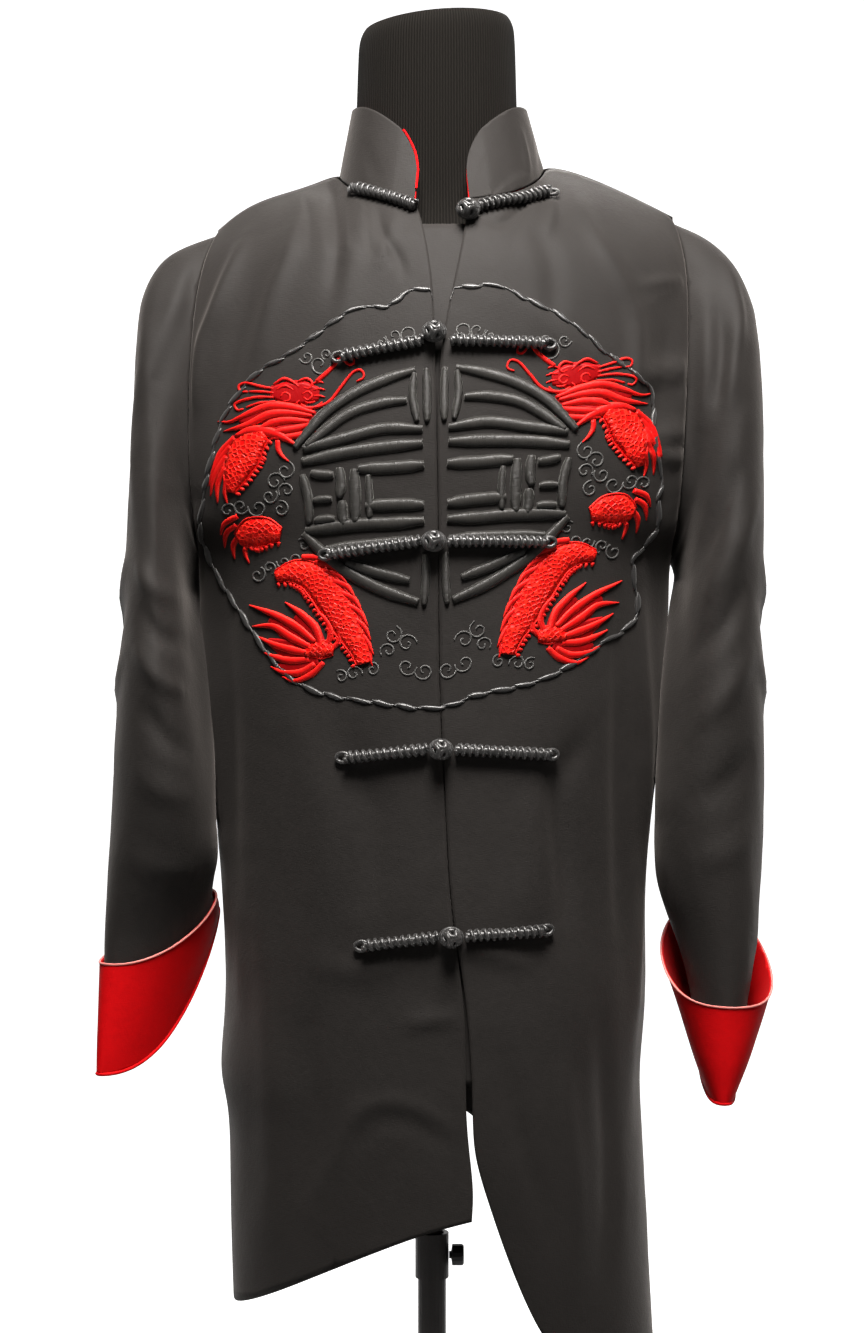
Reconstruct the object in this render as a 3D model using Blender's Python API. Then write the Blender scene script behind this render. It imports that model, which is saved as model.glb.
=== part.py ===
"""Tang jacket on a limbless dress form with a height-adjustable stand.

Metres, +Z up. The origin is the centre of the base's underside. The jacket's front faces -Y,
so the wearer's left side is at +X. Every cloth piece is a thin closed wall made from sections.
"""
import math
from collections import namedtuple

import bmesh
import bpy
import numpy as np
from mathutils import Vector
from mathutils.bvhtree import BVHTree

# ------------------------------------------------------------------ driving dimensions
CLOTH = 0.0015           # wall of the jacket's cloth
SEAM_GAP = 0.0003        # air between pieces that are sewn or laid together
RIGHT, LEFT = -1, 1      # the wearer's sides, as signs of X

NECK_COLUMNS = 4         # strips of a front panel that end at the neckline
BACK_NECK_COLUMNS = 3    # the same for each half of the back
SHOULDER_COLUMNS = 7     # strips that end at the shoulder seam, front and back alike
UNDERARM_LEVEL = 10      # row of the tables below where the side seam meets the armhole

COLLAR_WALL = 0.0012
COLLAR_LINING = 0.0010
COLLAR_ROUNDING = 0.020  # radius of the collar's front corners
COLLAR_ROWS = 4
COLLAR_SPANS = 16        # strips round the collar between its front corners
COLLAR_ENDS = (0.0, 0.0022, 0.0055, 0.0100, 0.0150)   # columns of a rounded corner
COLLAR_X = 0.0055        # centre of the collar's top edge
COLLAR_HALF_WIDTH = 0.0668
COLLAR_HALF_DEPTH = 0.0645
COLLAR_TOP = 1.443
COLLAR_FALL = 0.037      # how far the top edge falls towards the front ends
COLLAR_FALL_REACH = 0.085
COLLAR_END_SHARE = 0.55  # height that is left at the very front, as a share
COLLAR_BACK_RISE = 0.006
COLLAR_LIFT = 0.0006     # air between the collar and the neckline
LINING_PAST_EDGE = 0.0007
UNDERLAP_BOTTOM = 0.735
UNDERLAP_TOP = 1.345
UNDERLAP_ROWS = 15
CUFF_ROWS = 4            # sleeve rows that the turned-back cuff covers
UNDERLAP_WIDTH = 0.050
UNDERLAP_SET_BACK = 0.0045
SIDE_DROP = 1.3          # above 1, a section drops towards the side seam late
CORD_RADIUS = 0.0038     # half the height of a wrapped frog arm
KNOT_RADIUS = 0.0085
POLE_SIDES = 24

# Side seam up to the underarm, then the armhole edge. y is the same for front and back below it.
# sweep is how far round its quarter ellipse a section goes before it ends, in degrees.
Side = namedtuple("Side", "right_x right_z left_x left_z front_y back_y sweep")
SIDES = [
    Side(-0.1490, 0.558, 0.1660, 0.525, 0.006, 0.006, 90),
    Side(-0.1510, 0.615, 0.1620, 0.595, 0.006, 0.006, 90),
    Side(-0.1515, 0.665, 0.1590, 0.655, 0.007, 0.007, 90),
    Side(-0.1525, 0.700, 0.1570, 0.695, 0.008, 0.008, 90),
    Side(-0.1600, 0.728, 0.1555, 0.726, 0.009, 0.009, 90),
    Side(-0.1565, 0.760, 0.1590, 0.762, 0.010, 0.010, 90),
    Side(-0.1545, 0.800, 0.1610, 0.795, 0.011, 0.011, 90),
    Side(-0.1575, 0.850, 0.1600, 0.850, 0.014, 0.014, 90),
    Side(-0.1630, 0.930, 0.1660, 0.930, 0.014, 0.014, 90),
    Side(-0.1685, 1.020, 0.1740, 1.020, 0.011, 0.011, 90),
    Side(-0.1725, 1.108, 0.1755, 1.106, 0.005, 0.005, 90),
    Side(-0.1745, 1.133, 0.1795, 1.131, -0.040, 0.048, 80),
    Side(-0.1770, 1.186, 0.1830, 1.186, -0.060, 0.070, 72),
    Side(-0.1765, 1.240, 0.1855, 1.240, -0.060, 0.072, 68),
    Side(-0.1740, 1.286, 0.1870, 1.288, -0.050, 0.060, 66),
    Side(-0.1680, 1.328, 0.1860, 1.332, -0.031, 0.038, 62),
    Side(-0.1600, 1.356, 0.1800, 1.366, -0.002, -0.002, 60),
]

# The two front edges, from the hem's corners up to the collar's ends.
Edge = namedtuple("Edge", "right_x right_z left_x left_z right_y left_y")
FRONT_EDGES = [
    Edge(0.0280, 0.6405, 0.0800, 0.548, -0.1180, -0.0960),
    Edge(0.0295, 0.6620, 0.0562, 0.602, -0.1185, -0.1040),
    Edge(0.0262, 0.6880, 0.0385, 0.656, -0.1190, -0.1130),
    Edge(0.0242, 0.7120, 0.0282, 0.690, -0.1195, -0.1185),
    Edge(0.0235, 0.732, 0.0288, 0.728, -0.1200, -0.1198),
    Edge(0.0235, 0.762, 0.0270, 0.762, -0.1205, -0.1205),
    Edge(0.0220, 0.800, 0.0238, 0.800, -0.1215, -0.1215),
    Edge(0.0140, 0.850, 0.0150, 0.850, -0.1225, -0.1225),
    Edge(0.0090, 0.930, 0.0100, 0.930, -0.1245, -0.1245),
    Edge(0.0048, 1.020, 0.0056, 1.020, -0.1275, -0.1275),
    Edge(0.0042, 1.110, 0.0050, 1.110, -0.1310, -0.1310),
    Edge(0.0036, 1.160, 0.0044, 1.160, -0.1330, -0.1330),
    Edge(0.0028, 1.210, 0.0038, 1.210, -0.1335, -0.1335),
    Edge(0.0022, 1.257, 0.0062, 1.257, -0.1290, -0.1290),
    Edge(0.0005, 1.296, 0.0145, 1.296, -0.1190, -0.1190),
    Edge(-0.0050, 1.337, 0.0225, 1.337, -0.1010, -0.1010),
    Edge(-0.0125, 1.365, 0.0270, 1.365, -0.0810, -0.0810),
]

# The back's centre line at the same rows.
Spine = namedtuple("Spine", "x z y")
BACK_LINE = [
    Spine(0.006, 0.690, 0.119),
    Spine(0.006, 0.700, 0.119),
    Spine(0.006, 0.711, 0.119),
    Spine(0.006, 0.724, 0.119),
    Spine(0.006, 0.742, 0.118),
    Spine(0.006, 0.767, 0.117),
    Spine(0.005, 0.800, 0.115),
    Spine(0.005, 0.850, 0.112),
    Spine(0.005, 0.930, 0.107),
    Spine(0.004, 1.020, 0.104),
    Spine(0.004, 1.110, 0.107),
    Spine(0.004, 1.160, 0.112),
    Spine(0.004, 1.215, 0.117),
    Spine(0.004, 1.275, 0.117),
    Spine(0.005, 1.325, 0.109),
    Spine(0.006, 1.372, 0.090),
    Spine(0.007, 1.405, 0.062),
]
LEVEL_STEPS = [1, 1, 1, 1, 1, 1, 1, 2, 2, 2, 2, 2, 1, 1, 2, 2]   # rows laid between two levels
SIDE_NECK = {RIGHT: (-0.0715, 0.0, 1.398), LEFT: (0.0855, 0.0, 1.404)}
# How far the shoulder seam bows up, and how far out: above 1 is nearer the sleeve.
SHOULDER_BOW = {RIGHT: (0.0070, 1.9), LEFT: (0.0045, 0.7)}

# Rings of the hanging sleeves. Angle 0 points outwards and 90 forwards. turn is where a ring's
# long axis points, low_at where it is lowest, and bend above 1 keeps that side low for longer.
Ring = namedtuple("Ring", "x y long short turn low high low_at bend steps")
SLEEVE_RINGS = {
    RIGHT: [
        Ring(0.1845, 0.000, 0.0050, 0.0650, 0, 1.098, 1.344, 180, 1.0, 1),
        Ring(0.1925, -0.005, 0.0130, 0.0680, 0, 1.080, 1.330, 180, 1.0, 1),
        Ring(0.1974, -0.010, 0.0209, 0.0690, 0, 1.060, 1.302, 180, 1.0, 1),
        Ring(0.1960, -0.015, 0.0240, 0.0680, 0, 1.035, 1.262, 180, 1.0, 1),
        Ring(0.1955, -0.022, 0.0265, 0.0660, 0, 1.005, 1.205, 180, 1.0, 2),
        Ring(0.1948, -0.030, 0.0298, 0.0640, 0, 0.965, 1.118, 180, 1.0, 2),
        Ring(0.1955, -0.032, 0.0355, 0.0620, 0, 0.925, 1.020, 180, 1.0, 1),
        Ring(0.1958, -0.030, 0.0392, 0.0560, 0, 0.888, 0.930, 180, 1.0, 1),
        Ring(0.2012, -0.026, 0.0438, 0.0310, 35, 0.846, 0.880, 45, 1.0, 1),
        Ring(0.2022, -0.022, 0.0465, 0.0235, 42, 0.814, 0.862, 45, 1.5, 2),
        Ring(0.2020, -0.018, 0.0530, 0.0165, 44, 0.773, 0.856, 45, 1.9, 2),
        Ring(0.2025, -0.015, 0.0565, 0.0105, 45, 0.734, 0.850, 45, 2.3, 1),
    ],
    LEFT: [
        Ring(0.1950, 0.000, 0.0070, 0.0650, 0, 1.098, 1.354, 180, 1.0, 1),
        Ring(0.2042, -0.005, 0.0213, 0.0690, 0, 1.080, 1.335, 180, 1.0, 1),
        Ring(0.2103, -0.010, 0.0312, 0.0700, 0, 1.060, 1.298, 180, 1.0, 1),
        Ring(0.2101, -0.016, 0.0349, 0.0690, 0, 1.035, 1.256, 180, 1.0, 1),
        Ring(0.2087, -0.023, 0.0372, 0.0670, 0, 1.005, 1.200, 180, 1.0, 2),
        Ring(0.2055, -0.030, 0.0380, 0.0650, 0, 0.960, 1.110, 180, 1.0, 2),
        Ring(0.2031, -0.034, 0.0401, 0.0630, 0, 0.915, 1.010, 180, 1.0, 1),
        Ring(0.2035, -0.033, 0.0410, 0.0590, 0, 0.875, 0.920, 180, 1.0, 1),
        Ring(0.2065, -0.030, 0.0560, 0.0335, 82, 0.832, 0.858, 85, 1.0, 1),
        Ring(0.2090, -0.028, 0.0570, 0.0250, 86, 0.788, 0.848, 85, 1.1, 2),
        Ring(0.2085, -0.027, 0.0600, 0.0170, 88, 0.747, 0.840, 88, 1.6, 2),
        Ring(0.2085, -0.026, 0.0620, 0.0105, 90, 0.718, 0.832, 90, 2.2, 1),
    ],
}
CUFF_FLARE = {RIGHT: 0.0020, LEFT: 0.0135}       # how far the turned cuff's rim stands off

# Frog closures: the ball knot and the outer tips of the two arms, seen from the front.
Frog = namedtuple("Frog", "knot_x knot_z right_x right_z left_x left_z loop_x loop_z")
FROGS = [
    Frog(0.0230, 1.3560, -0.0540, 1.3750, 0.0850, 1.3725, -0.0110, 1.3560),
    Frog(0.0035, 1.2568, -0.0625, 1.2465, 0.0790, 1.2555, 0.0035, 1.2568),
    Frog(0.0015, 1.1175, -0.0715, 1.1090, 0.0790, 1.1175, 0.0015, 1.1175),
    Frog(0.0065, 0.9726, -0.0595, 0.9665, 0.0810, 0.9685, 0.0065, 0.9726),
    Frog(0.0140, 0.8415, -0.0465, 0.8340, 0.0775, 0.8445, 0.0140, 0.8415),
]

# Dress form, from the underside to the top of the neck block.
FormRow = namedtuple("FormRow", "z half_width front back")
FORM_ROWS = [
    FormRow(0.790, 0.136, -0.090, 0.088),
    FormRow(0.797, 0.142, -0.096, 0.094),
    FormRow(0.860, 0.144, -0.102, 0.096),
    FormRow(0.930, 0.138, -0.098, 0.090),
    FormRow(1.020, 0.122, -0.090, 0.076),
    FormRow(1.100, 0.130, -0.102, 0.080),
    FormRow(1.180, 0.142, -0.118, 0.090),
    FormRow(1.240, 0.146, -0.108, 0.096),
    FormRow(1.290, 0.152, -0.088, 0.090),
    FormRow(1.325, 0.144, -0.070, 0.078),
    FormRow(1.348, 0.122, -0.060, 0.066),
    FormRow(1.365, 0.096, -0.057, 0.058),
    FormRow(1.380, 0.073, -0.056, 0.055),
    FormRow(1.400, 0.0620, -0.0555, 0.0545),
    FormRow(1.440, 0.0605, -0.0550, 0.0540),
    FormRow(1.490, 0.0592, -0.0545, 0.0535),
    FormRow(1.503, 0.0582, -0.0535, 0.0525),
    FormRow(1.509, 0.0545, -0.0500, 0.0490),
    FormRow(1.5115, 0.0460, -0.0425, 0.0415),
    FormRow(1.5125, 0.0250, -0.0240, 0.0230),
]
FORM_SLANT_FROM = 1.48   # the neck block's top slants from here up
FORM_SLANT = 0.09        # its rise towards the left, per metre
FORM_X = 0.0035          # the form stands a little to the left of its pole
FORM_COLUMNS = 28

BASE_RADIUS = 0.170
BASE_THICKNESS = 0.014
BASE_BEVEL = 0.004
FOOT_RADIUS = 0.026      # collar that holds the outer tube on the base
FOOT_HEIGHT = 0.030
TUBE_RADIUS = 0.0105
TUBE_BORE = 0.0094
TUBE_TOP = 0.585
POLE_RADIUS = 0.0086
POLE_BOTTOM = 0.300
SOCKET_RADIUS = 0.032    # flange under the form that the pole turns in
SOCKET_HEIGHT = 0.022
CLAMP_RADIUS = 0.0125
CLAMP_BOTTOM = 0.5735
CLAMP_TOP = 0.6070
SCREW_RADIUS = 0.0028
SCREW_HEIGHT = 0.5900    # height of the clamp screw's axis, which points to +X
KNOB_RADIUS = 0.0080
KNOB_LENGTH = 0.0095


# ------------------------------------------------------------------ shared tools
def material(name, colour, roughness, metallic=0.0):
    made = bpy.data.materials.new(name)
    made.use_nodes = True
    shader = made.node_tree.nodes["Principled BSDF"]
    shader.inputs["Base Color"].default_value = (*colour, 1.0)
    shader.inputs["Roughness"].default_value = roughness
    shader.inputs["Metallic"].default_value = metallic
    return made


def add_object(name, mesh, look, smooth_angle=None):
    made = bpy.data.objects.new(name, mesh)
    bpy.context.scene.collection.objects.link(made)
    mesh.materials.append(look)
    if smooth_angle is not None:
        mesh.shade_smooth()
        mesh.set_sharp_from_angle(angle=math.radians(smooth_angle))
    return made


def loft(sections, steps):
    """Rows of points through the sections, each column following its own smooth curve."""
    points = np.array(sections, dtype=float)
    spans = np.maximum(np.linalg.norm(np.diff(points, axis=0), axis=2), 1e-4)[..., None]
    slopes = np.diff(points, axis=0) / spans
    tangents = np.empty_like(points)
    tangents[0], tangents[-1] = slopes[0], slopes[-1]
    weight = spans[1:] / (spans[1:] + spans[:-1])
    tangents[1:-1] = slopes[:-1] * weight + slopes[1:] * (1 - weight)
    rows = [points[0]]
    for k, count in enumerate(steps):
        for step in range(1, count + 1):
            t = step / count
            start, end = points[k], points[k + 1]
            leave, arrive = tangents[k] * spans[k], tangents[k + 1] * spans[k]
            rows.append(start * (2 * t**3 - 3 * t**2 + 1) + leave * (t**3 - 2 * t**2 + t)
                        + end * (3 * t**2 - 2 * t**3) + arrive * (t**3 - t**2))
    return np.array(rows)


def face_normals(grid, closed):
    """Area-weighted normals of the grid's quads."""
    across = np.roll(grid, -1, axis=1) if closed else grid[:, 1:]
    here = grid if closed else grid[:, :-1]
    return np.cross(across[1:] - here[:-1], across[:-1] - here[1:])


def shared_normals(grids, closed):
    """Vertex normals for each grid, averaged where two grids meet along a seam."""
    total = {}

    def key(point):
        return tuple(np.round(point, 6))

    for name, grid in grids.items():
        faces = face_normals(grid, closed[name])
        rows, columns = faces.shape[:2]
        middle = grid.mean(axis=1, keepdims=True)
        middle[..., 2] = grid[..., 2:3].mean(axis=1)
        outward = np.sum(faces * (grid[:-1, :columns] - middle[:-1]))
        faces = faces if outward > 0 else -faces
        width = grid.shape[1]
        for r in range(rows):
            for c in range(columns):
                for dr, dc in ((0, 0), (0, 1), (1, 0), (1, 1)):
                    corner = key(grid[r + dr, (c + dc) % width])
                    total[corner] = total.get(corner, 0) + faces[r, c]
    normals = {}
    for name, grid in grids.items():
        found = np.array([[total[key(point)] for point in row] for row in grid])
        normals[name] = found / np.linalg.norm(found, axis=2, keepdims=True)
    return normals


def open_seam(grid, normals, edge):
    """Moves one edge of a grid off its seam by half the gap, square to the seam's mitre."""
    line = {"bottom": grid[0], "top": grid[-1], "first": grid[:, 0], "last": grid[:, -1]}[edge]
    inner = {"bottom": grid[1], "top": grid[-2], "first": grid[:, 1], "last": grid[:, -2]}[edge]
    up = {"bottom": normals[0], "top": normals[-1],
          "first": normals[:, 0], "last": normals[:, -1]}[edge]
    along = np.gradient(line, axis=0)
    square = np.cross(along, up)
    square /= np.linalg.norm(square, axis=1, keepdims=True)
    side = np.sign(np.sum(square * (inner - line), axis=1, keepdims=True))
    shift = np.zeros_like(grid)
    target = {"bottom": shift[0], "top": shift[-1],
              "first": shift[:, 0], "last": shift[:, -1]}[edge]
    target += square * side * SEAM_GAP / 2
    return shift


def wall(name, grid, normals, thickness, look, closed=False):
    """A closed cloth wall whose outer face is the grid and whose inner face lies inside it."""
    rows, columns = grid.shape[:2]
    shape = bmesh.new()
    outer = [[shape.verts.new(point) for point in row] for row in grid]
    inner = [[shape.verts.new(point) for point in row] for row in grid - normals * thickness]
    spans = columns if closed else columns - 1
    for r in range(rows - 1):
        for c in range(spans):
            d = (c + 1) % columns
            shape.faces.new((outer[r][c], outer[r][d], outer[r + 1][d], outer[r + 1][c]))
            shape.faces.new((inner[r][c], inner[r + 1][c], inner[r + 1][d], inner[r][d]))
    for c in range(spans):
        d = (c + 1) % columns
        shape.faces.new((outer[0][d], outer[0][c], inner[0][c], inner[0][d]))
        shape.faces.new((outer[-1][c], outer[-1][d], inner[-1][d], inner[-1][c]))
    if not closed:
        for r in range(rows - 1):
            shape.faces.new((outer[r][0], outer[r + 1][0], inner[r + 1][0], inner[r][0]))
            shape.faces.new((outer[r + 1][-1], outer[r][-1], inner[r][-1], inner[r + 1][-1]))
    bmesh.ops.recalc_face_normals(shape, faces=shape.faces)
    mesh = bpy.data.meshes.new(name)
    shape.to_mesh(mesh)
    shape.free()
    return add_object(name, mesh, look, smooth_angle=50)


def outer_tree(grid):
    """A search tree over a panel's outer face, to lay trimmings on it."""
    rows, columns = grid.shape[:2]
    quads = [(r * columns + c, r * columns + c + 1, (r + 1) * columns + c + 1,
              (r + 1) * columns + c) for r in range(rows - 1) for c in range(columns - 1)]
    return BVHTree.FromPolygons([tuple(p) for p in grid.reshape(-1, 3)], quads)


def turned(name, profile, look, sides=POLE_SIDES, axis="Z", centre=(0.0, 0.0, 0.0)):
    """A solid turned from (radius, height) points. A profile that starts and ends on the axis
    is solid, and one that closes on itself is a tube."""
    solid = profile[0][0] == 0
    shape = bmesh.new()
    loops = []
    for radius, height in profile[1:-1] if solid else profile:
        loop = []
        for k in range(sides):
            turn = math.tau * k / sides
            loop.append(shape.verts.new((radius * math.cos(turn), radius * math.sin(turn), height)))
        loops.append(loop)
    pairs = list(zip(loops, loops[1:] if solid else loops[1:] + loops[:1]))
    for low, high in pairs:
        for k in range(sides):
            j = (k + 1) % sides
            shape.faces.new((low[k], low[j], high[j], high[k]))
    if solid:
        shape.faces.new(loops[0])
        shape.faces.new(loops[-1])
    bmesh.ops.recalc_face_normals(shape, faces=shape.faces)
    mesh = bpy.data.meshes.new(name)
    shape.to_mesh(mesh)
    shape.free()
    made = add_object(name, mesh, look, smooth_angle=35)
    made.location = centre
    if axis == "X":
        made.rotation_euler = (0.0, math.radians(90), 0.0)
    return made


# ------------------------------------------------------------------ the jacket's panels
def side_of(row, side):
    return (row.right_x, row.right_z) if side == RIGHT else (row.left_x, row.left_z)


def quarter(start, end, sweep, columns):
    """A section from a centre line out to the side: part of a quarter ellipse."""
    angles = np.radians(np.linspace(0, sweep, columns + 1))
    out = np.sin(angles) / math.sin(math.radians(sweep))
    depth = (np.cos(angles) - math.cos(math.radians(sweep))) / (1 - math.cos(math.radians(sweep)))
    section = np.empty((columns + 1, 3))
    section[:, 0] = start[0] + (end[0] - start[0]) * out
    section[:, 1] = end[1] + (start[1] - end[1]) * depth
    section[:, 2] = start[2] + (end[2] - start[2]) * out ** SIDE_DROP
    return section


def neck_and_shoulder(start, side, neck_columns):
    """The top edge of a panel: round the neckline to the side neck, then out to the shoulder."""
    neck = np.array(SIDE_NECK[side])
    angles = np.radians(np.linspace(0, 90, neck_columns + 1))
    section = [(start[0] + (neck[0] - start[0]) * math.sin(a),
                neck[1] + (start[1] - neck[1]) * math.cos(a),
                start[2] + (neck[2] - start[2]) * (1 - math.cos(a))) for a in angles]
    tip_x, tip_z = side_of(SIDES[-1], side)
    tip = np.array((tip_x, SIDES[-1].front_y, tip_z))
    for step in range(1, SHOULDER_COLUMNS + 1):
        f = step / SHOULDER_COLUMNS
        point = neck + (tip - neck) * f
        lift, place = SHOULDER_BOW[side]
        point[2] += lift * math.sin(math.pi * f ** place)
        section.append(tuple(point))
    return np.array(section)


def front_grid(side):
    columns = NECK_COLUMNS + SHOULDER_COLUMNS
    sections = []
    for row, edge in zip(SIDES[:-1], FRONT_EDGES[:-1]):
        x, z = side_of(edge, side)
        start = (x, edge.right_y if side == RIGHT else edge.left_y, z)
        side_x, side_z = side_of(row, side)
        sections.append(quarter(start, (side_x, row.front_y, side_z), row.sweep, columns))
    x, z = side_of(FRONT_EDGES[-1], side)
    sections.append(neck_and_shoulder((x, FRONT_EDGES[-1].right_y, z), side, NECK_COLUMNS))
    return loft(sections, LEVEL_STEPS)


def back_grid():
    columns = BACK_NECK_COLUMNS + SHOULDER_COLUMNS
    sections = []
    for row, spine in zip(SIDES, BACK_LINE):
        start = (spine.x, spine.y, spine.z)
        halves = {}
        for side in (RIGHT, LEFT):
            side_x, side_z = side_of(row, side)
            halves[side] = quarter(start, (side_x, row.back_y, side_z), row.sweep, columns)
            if row is SIDES[-1]:
                halves[side] = neck_and_shoulder(start, side, BACK_NECK_COLUMNS)
        sections.append(np.concatenate([halves[RIGHT][::-1], halves[LEFT][1:]]))
    return loft(sections, LEVEL_STEPS)


def sleeve_ring(ring, side, count):
    angles = np.radians(180 - 360 * np.arange(count) / count)
    turn = math.radians(ring.turn)
    along, across = np.cos(angles - turn) * ring.long, np.sin(angles - turn) * ring.short
    rise = (1 - np.cos(angles - math.radians(ring.low_at))) / 2
    points = np.empty((count, 3))
    points[:, 0] = side * (ring.x + along * math.cos(turn) - across * math.sin(turn))
    points[:, 1] = ring.y - along * math.sin(turn) - across * math.cos(turn)
    points[:, 2] = ring.low + (ring.high - ring.low) * rise ** ring.bend
    return points


def sleeve_grid(side, front, back_edge, underarm_row):
    """Rings from the armhole down to the fold of the cuff. The first is the armhole itself."""
    armhole = np.concatenate([front[underarm_row:, -1], back_edge[underarm_row + 1:-1][::-1]])
    rings = [armhole] + [sleeve_ring(ring, side, len(armhole)) for ring in SLEEVE_RINGS[side]]
    steps = [1] + [ring.steps for ring in SLEEVE_RINGS[side][:-1]]
    return loft(rings, steps)


def build_panels(black):
    """Fronts, back and sleeves: all their points first, so that seams share their normals."""
    underarm_row = sum(LEVEL_STEPS[:UNDERARM_LEVEL])
    fronts = {side: front_grid(side) for side in (RIGHT, LEFT)}
    back = back_grid()
    back_edges = {RIGHT: back[:, 0], LEFT: back[:, -1]}
    for side in (RIGHT, LEFT):
        seam = slice(0, underarm_row + 1)
        shared = (fronts[side][seam, -1] + back_edges[side][seam]) / 2
        fronts[side][seam, -1] = shared
        back_edges[side][seam] = shared
    grids = {"front_right": fronts[RIGHT], "front_left": fronts[LEFT], "back": back}
    for side, name in ((RIGHT, "sleeve_right"), (LEFT, "sleeve_left")):
        grids[name] = sleeve_grid(side, fronts[side], back_edges[side], underarm_row)
    closed = {name: name.startswith("sleeve") for name in grids}
    normals = shared_normals(grids, closed)
    seams = {"front_right": ("top", "last"), "front_left": ("top", "last"),
             "back": ("top", "first", "last"), "sleeve_right": ("bottom",),
             "sleeve_left": ("bottom",)}
    for name, grid in grids.items():
        shifts = [open_seam(grid, normals[name], edge) for edge in seams[name]]
        grid += np.sum(shifts, axis=0)
        wall(name, grid, normals[name], CLOTH, black, closed=closed[name])
    return grids, normals


def build_cuffs(grids, normals, red):
    """Each sleeve end is turned back: its last rows, moved out and flaring towards the rim."""
    for side, name in ((RIGHT, "right"), (LEFT, "left")):
        rows = grids["sleeve_" + name][-1 - CUFF_ROWS:]
        out = normals["sleeve_" + name][-1 - CUFF_ROWS:]
        flare = np.linspace(CUFF_FLARE[side], 0.0, CUFF_ROWS + 1)[:, None, None]
        reach = CLOTH + SEAM_GAP + flare
        wall("cuff_" + name, rows + out * reach, out, CLOTH, red, closed=True)


def build_collar(grids, black, red):
    """A stand collar on the neckline, leaning in, its front corners rounded."""
    right = grids["front_right"][-1, :NECK_COLUMNS + 1]
    left = grids["front_left"][-1, :NECK_COLUMNS + 1]
    middle = BACK_NECK_COLUMNS + SHOULDER_COLUMNS
    back = grids["back"][-1, middle - BACK_NECK_COLUMNS:middle + BACK_NECK_COLUMNS + 1]
    neckline = np.concatenate([right, back[1:-1], left[::-1]])
    lengths = np.concatenate([[0], np.cumsum(np.linalg.norm(np.diff(neckline, axis=0), axis=1))])
    whole = lengths[-1]
    ends = np.array(COLLAR_ENDS)
    between = np.linspace(COLLAR_ROUNDING, whole - COLLAR_ROUNDING, COLLAR_SPANS + 1)
    places = np.concatenate([ends, between, whole - ends[::-1]])
    base = np.stack([np.interp(places, lengths, neckline[:, k]) for k in range(3)], axis=1)
    rows = []
    for r in range(COLLAR_ROWS + 1):
        f = r / COLLAR_ROWS
        row = base.copy()
        for k, place in enumerate(places):
            from_end = min(place, whole - place)
            corner = 1 - min(from_end, COLLAR_ROUNDING) / COLLAR_ROUNDING
            rounding = math.sqrt(max(0.0, 1 - corner ** 2))
            rounding = COLLAR_END_SHARE + (1 - COLLAR_END_SHARE) * rounding
            fall = max(0.0, 1 - from_end / COLLAR_FALL_REACH) ** 2
            angle = math.atan2(base[k, 1], base[k, 0] - COLLAR_X)
            behind = max(0.0, math.sin(angle))
            top = np.array((COLLAR_X + COLLAR_HALF_WIDTH * math.cos(angle),
                            COLLAR_HALF_DEPTH * math.sin(angle),
                            COLLAR_TOP - COLLAR_FALL * fall + COLLAR_BACK_RISE * behind))
            row[k] = base[k] + (top - base[k]) * f * rounding
            row[k, 2] += COLLAR_LIFT
        rows.append(row)
    grid = np.array(rows)
    normals = shared_normals({"collar": grid}, {"collar": False})["collar"]
    wall("collar", grid, normals, COLLAR_WALL, black)
    lining = grid - normals * (COLLAR_WALL + SEAM_GAP)
    for column, neighbour in ((0, 1), (-1, -2)):
        step = lining[:, column] - lining[:, neighbour]
        lining[:, column] += step / np.linalg.norm(step, axis=1, keepdims=True) * LINING_PAST_EDGE
    wall("collar_lining", lining, normals, COLLAR_LINING, red)


def build_underlap(grids, black):
    """The placket strip behind the opening, from below the collar to above the hem."""
    right, left = grids["front_right"][:, 0], grids["front_left"][:, 0]
    heights = np.linspace(UNDERLAP_BOTTOM, UNDERLAP_TOP, UNDERLAP_ROWS)
    rows = []
    for z in heights:
        x_right, x_left = (np.interp(z, edge[:, 2], edge[:, 0]) for edge in (right, left))
        y = np.interp(z, right[:, 2], right[:, 1]) + UNDERLAP_SET_BACK
        middle = (x_right + x_left) / 2
        rows.append([(middle + f * UNDERLAP_WIDTH / 2, y, z) for f in (-1, 0, 1)])
    grid = np.array(rows)
    normals = shared_normals({"underlap": grid}, {"underlap": False})["underlap"]
    normals *= -np.sign(normals[0, 0, 1])
    wall("underlap", grid, normals, CLOTH, black)


# ------------------------------------------------------------------ frog closures
def on_front(trees, x, z, height):
    """The point that lies the given height above the front panels at (x, z)."""
    ahead = Vector((0.0, 1.0, 0.0))
    hits = [tree.ray_cast(Vector((x, -1.0, z)), ahead) for tree in trees]
    hits = [hit for hit in hits if hit[0] is not None]
    if not hits:
        hits = [tree.find_nearest(Vector((x, -0.1, z))) for tree in trees]
        hits.sort(key=lambda hit: hit[3])
    place, normal = hits[0][0], hits[0][1]
    if normal.y > 0:
        normal = -normal
    return place + normal * height


def frog_arm(name, trees, start, end, look):
    points = []
    count = 8
    for k in range(count + 1):
        f = k / count
        x = start[0] + (end[0] - start[0]) * f
        z = start[1] + (end[1] - start[1]) * f
        points.append(on_front(trees, x, z, CORD_RADIUS + 0.0007))
    curve = bpy.data.curves.new(name, "CURVE")
    curve.dimensions = "3D"
    curve.bevel_depth = CORD_RADIUS
    curve.bevel_resolution = 2
    curve.use_fill_caps = True
    spline = curve.splines.new("POLY")
    spline.points.add(count)
    for point, place in zip(spline.points, points):
        point.co = (*place, 1.0)
    curve.materials.append(look)
    made = bpy.data.objects.new(name, curve)
    bpy.context.scene.collection.objects.link(made)
    return made


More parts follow.
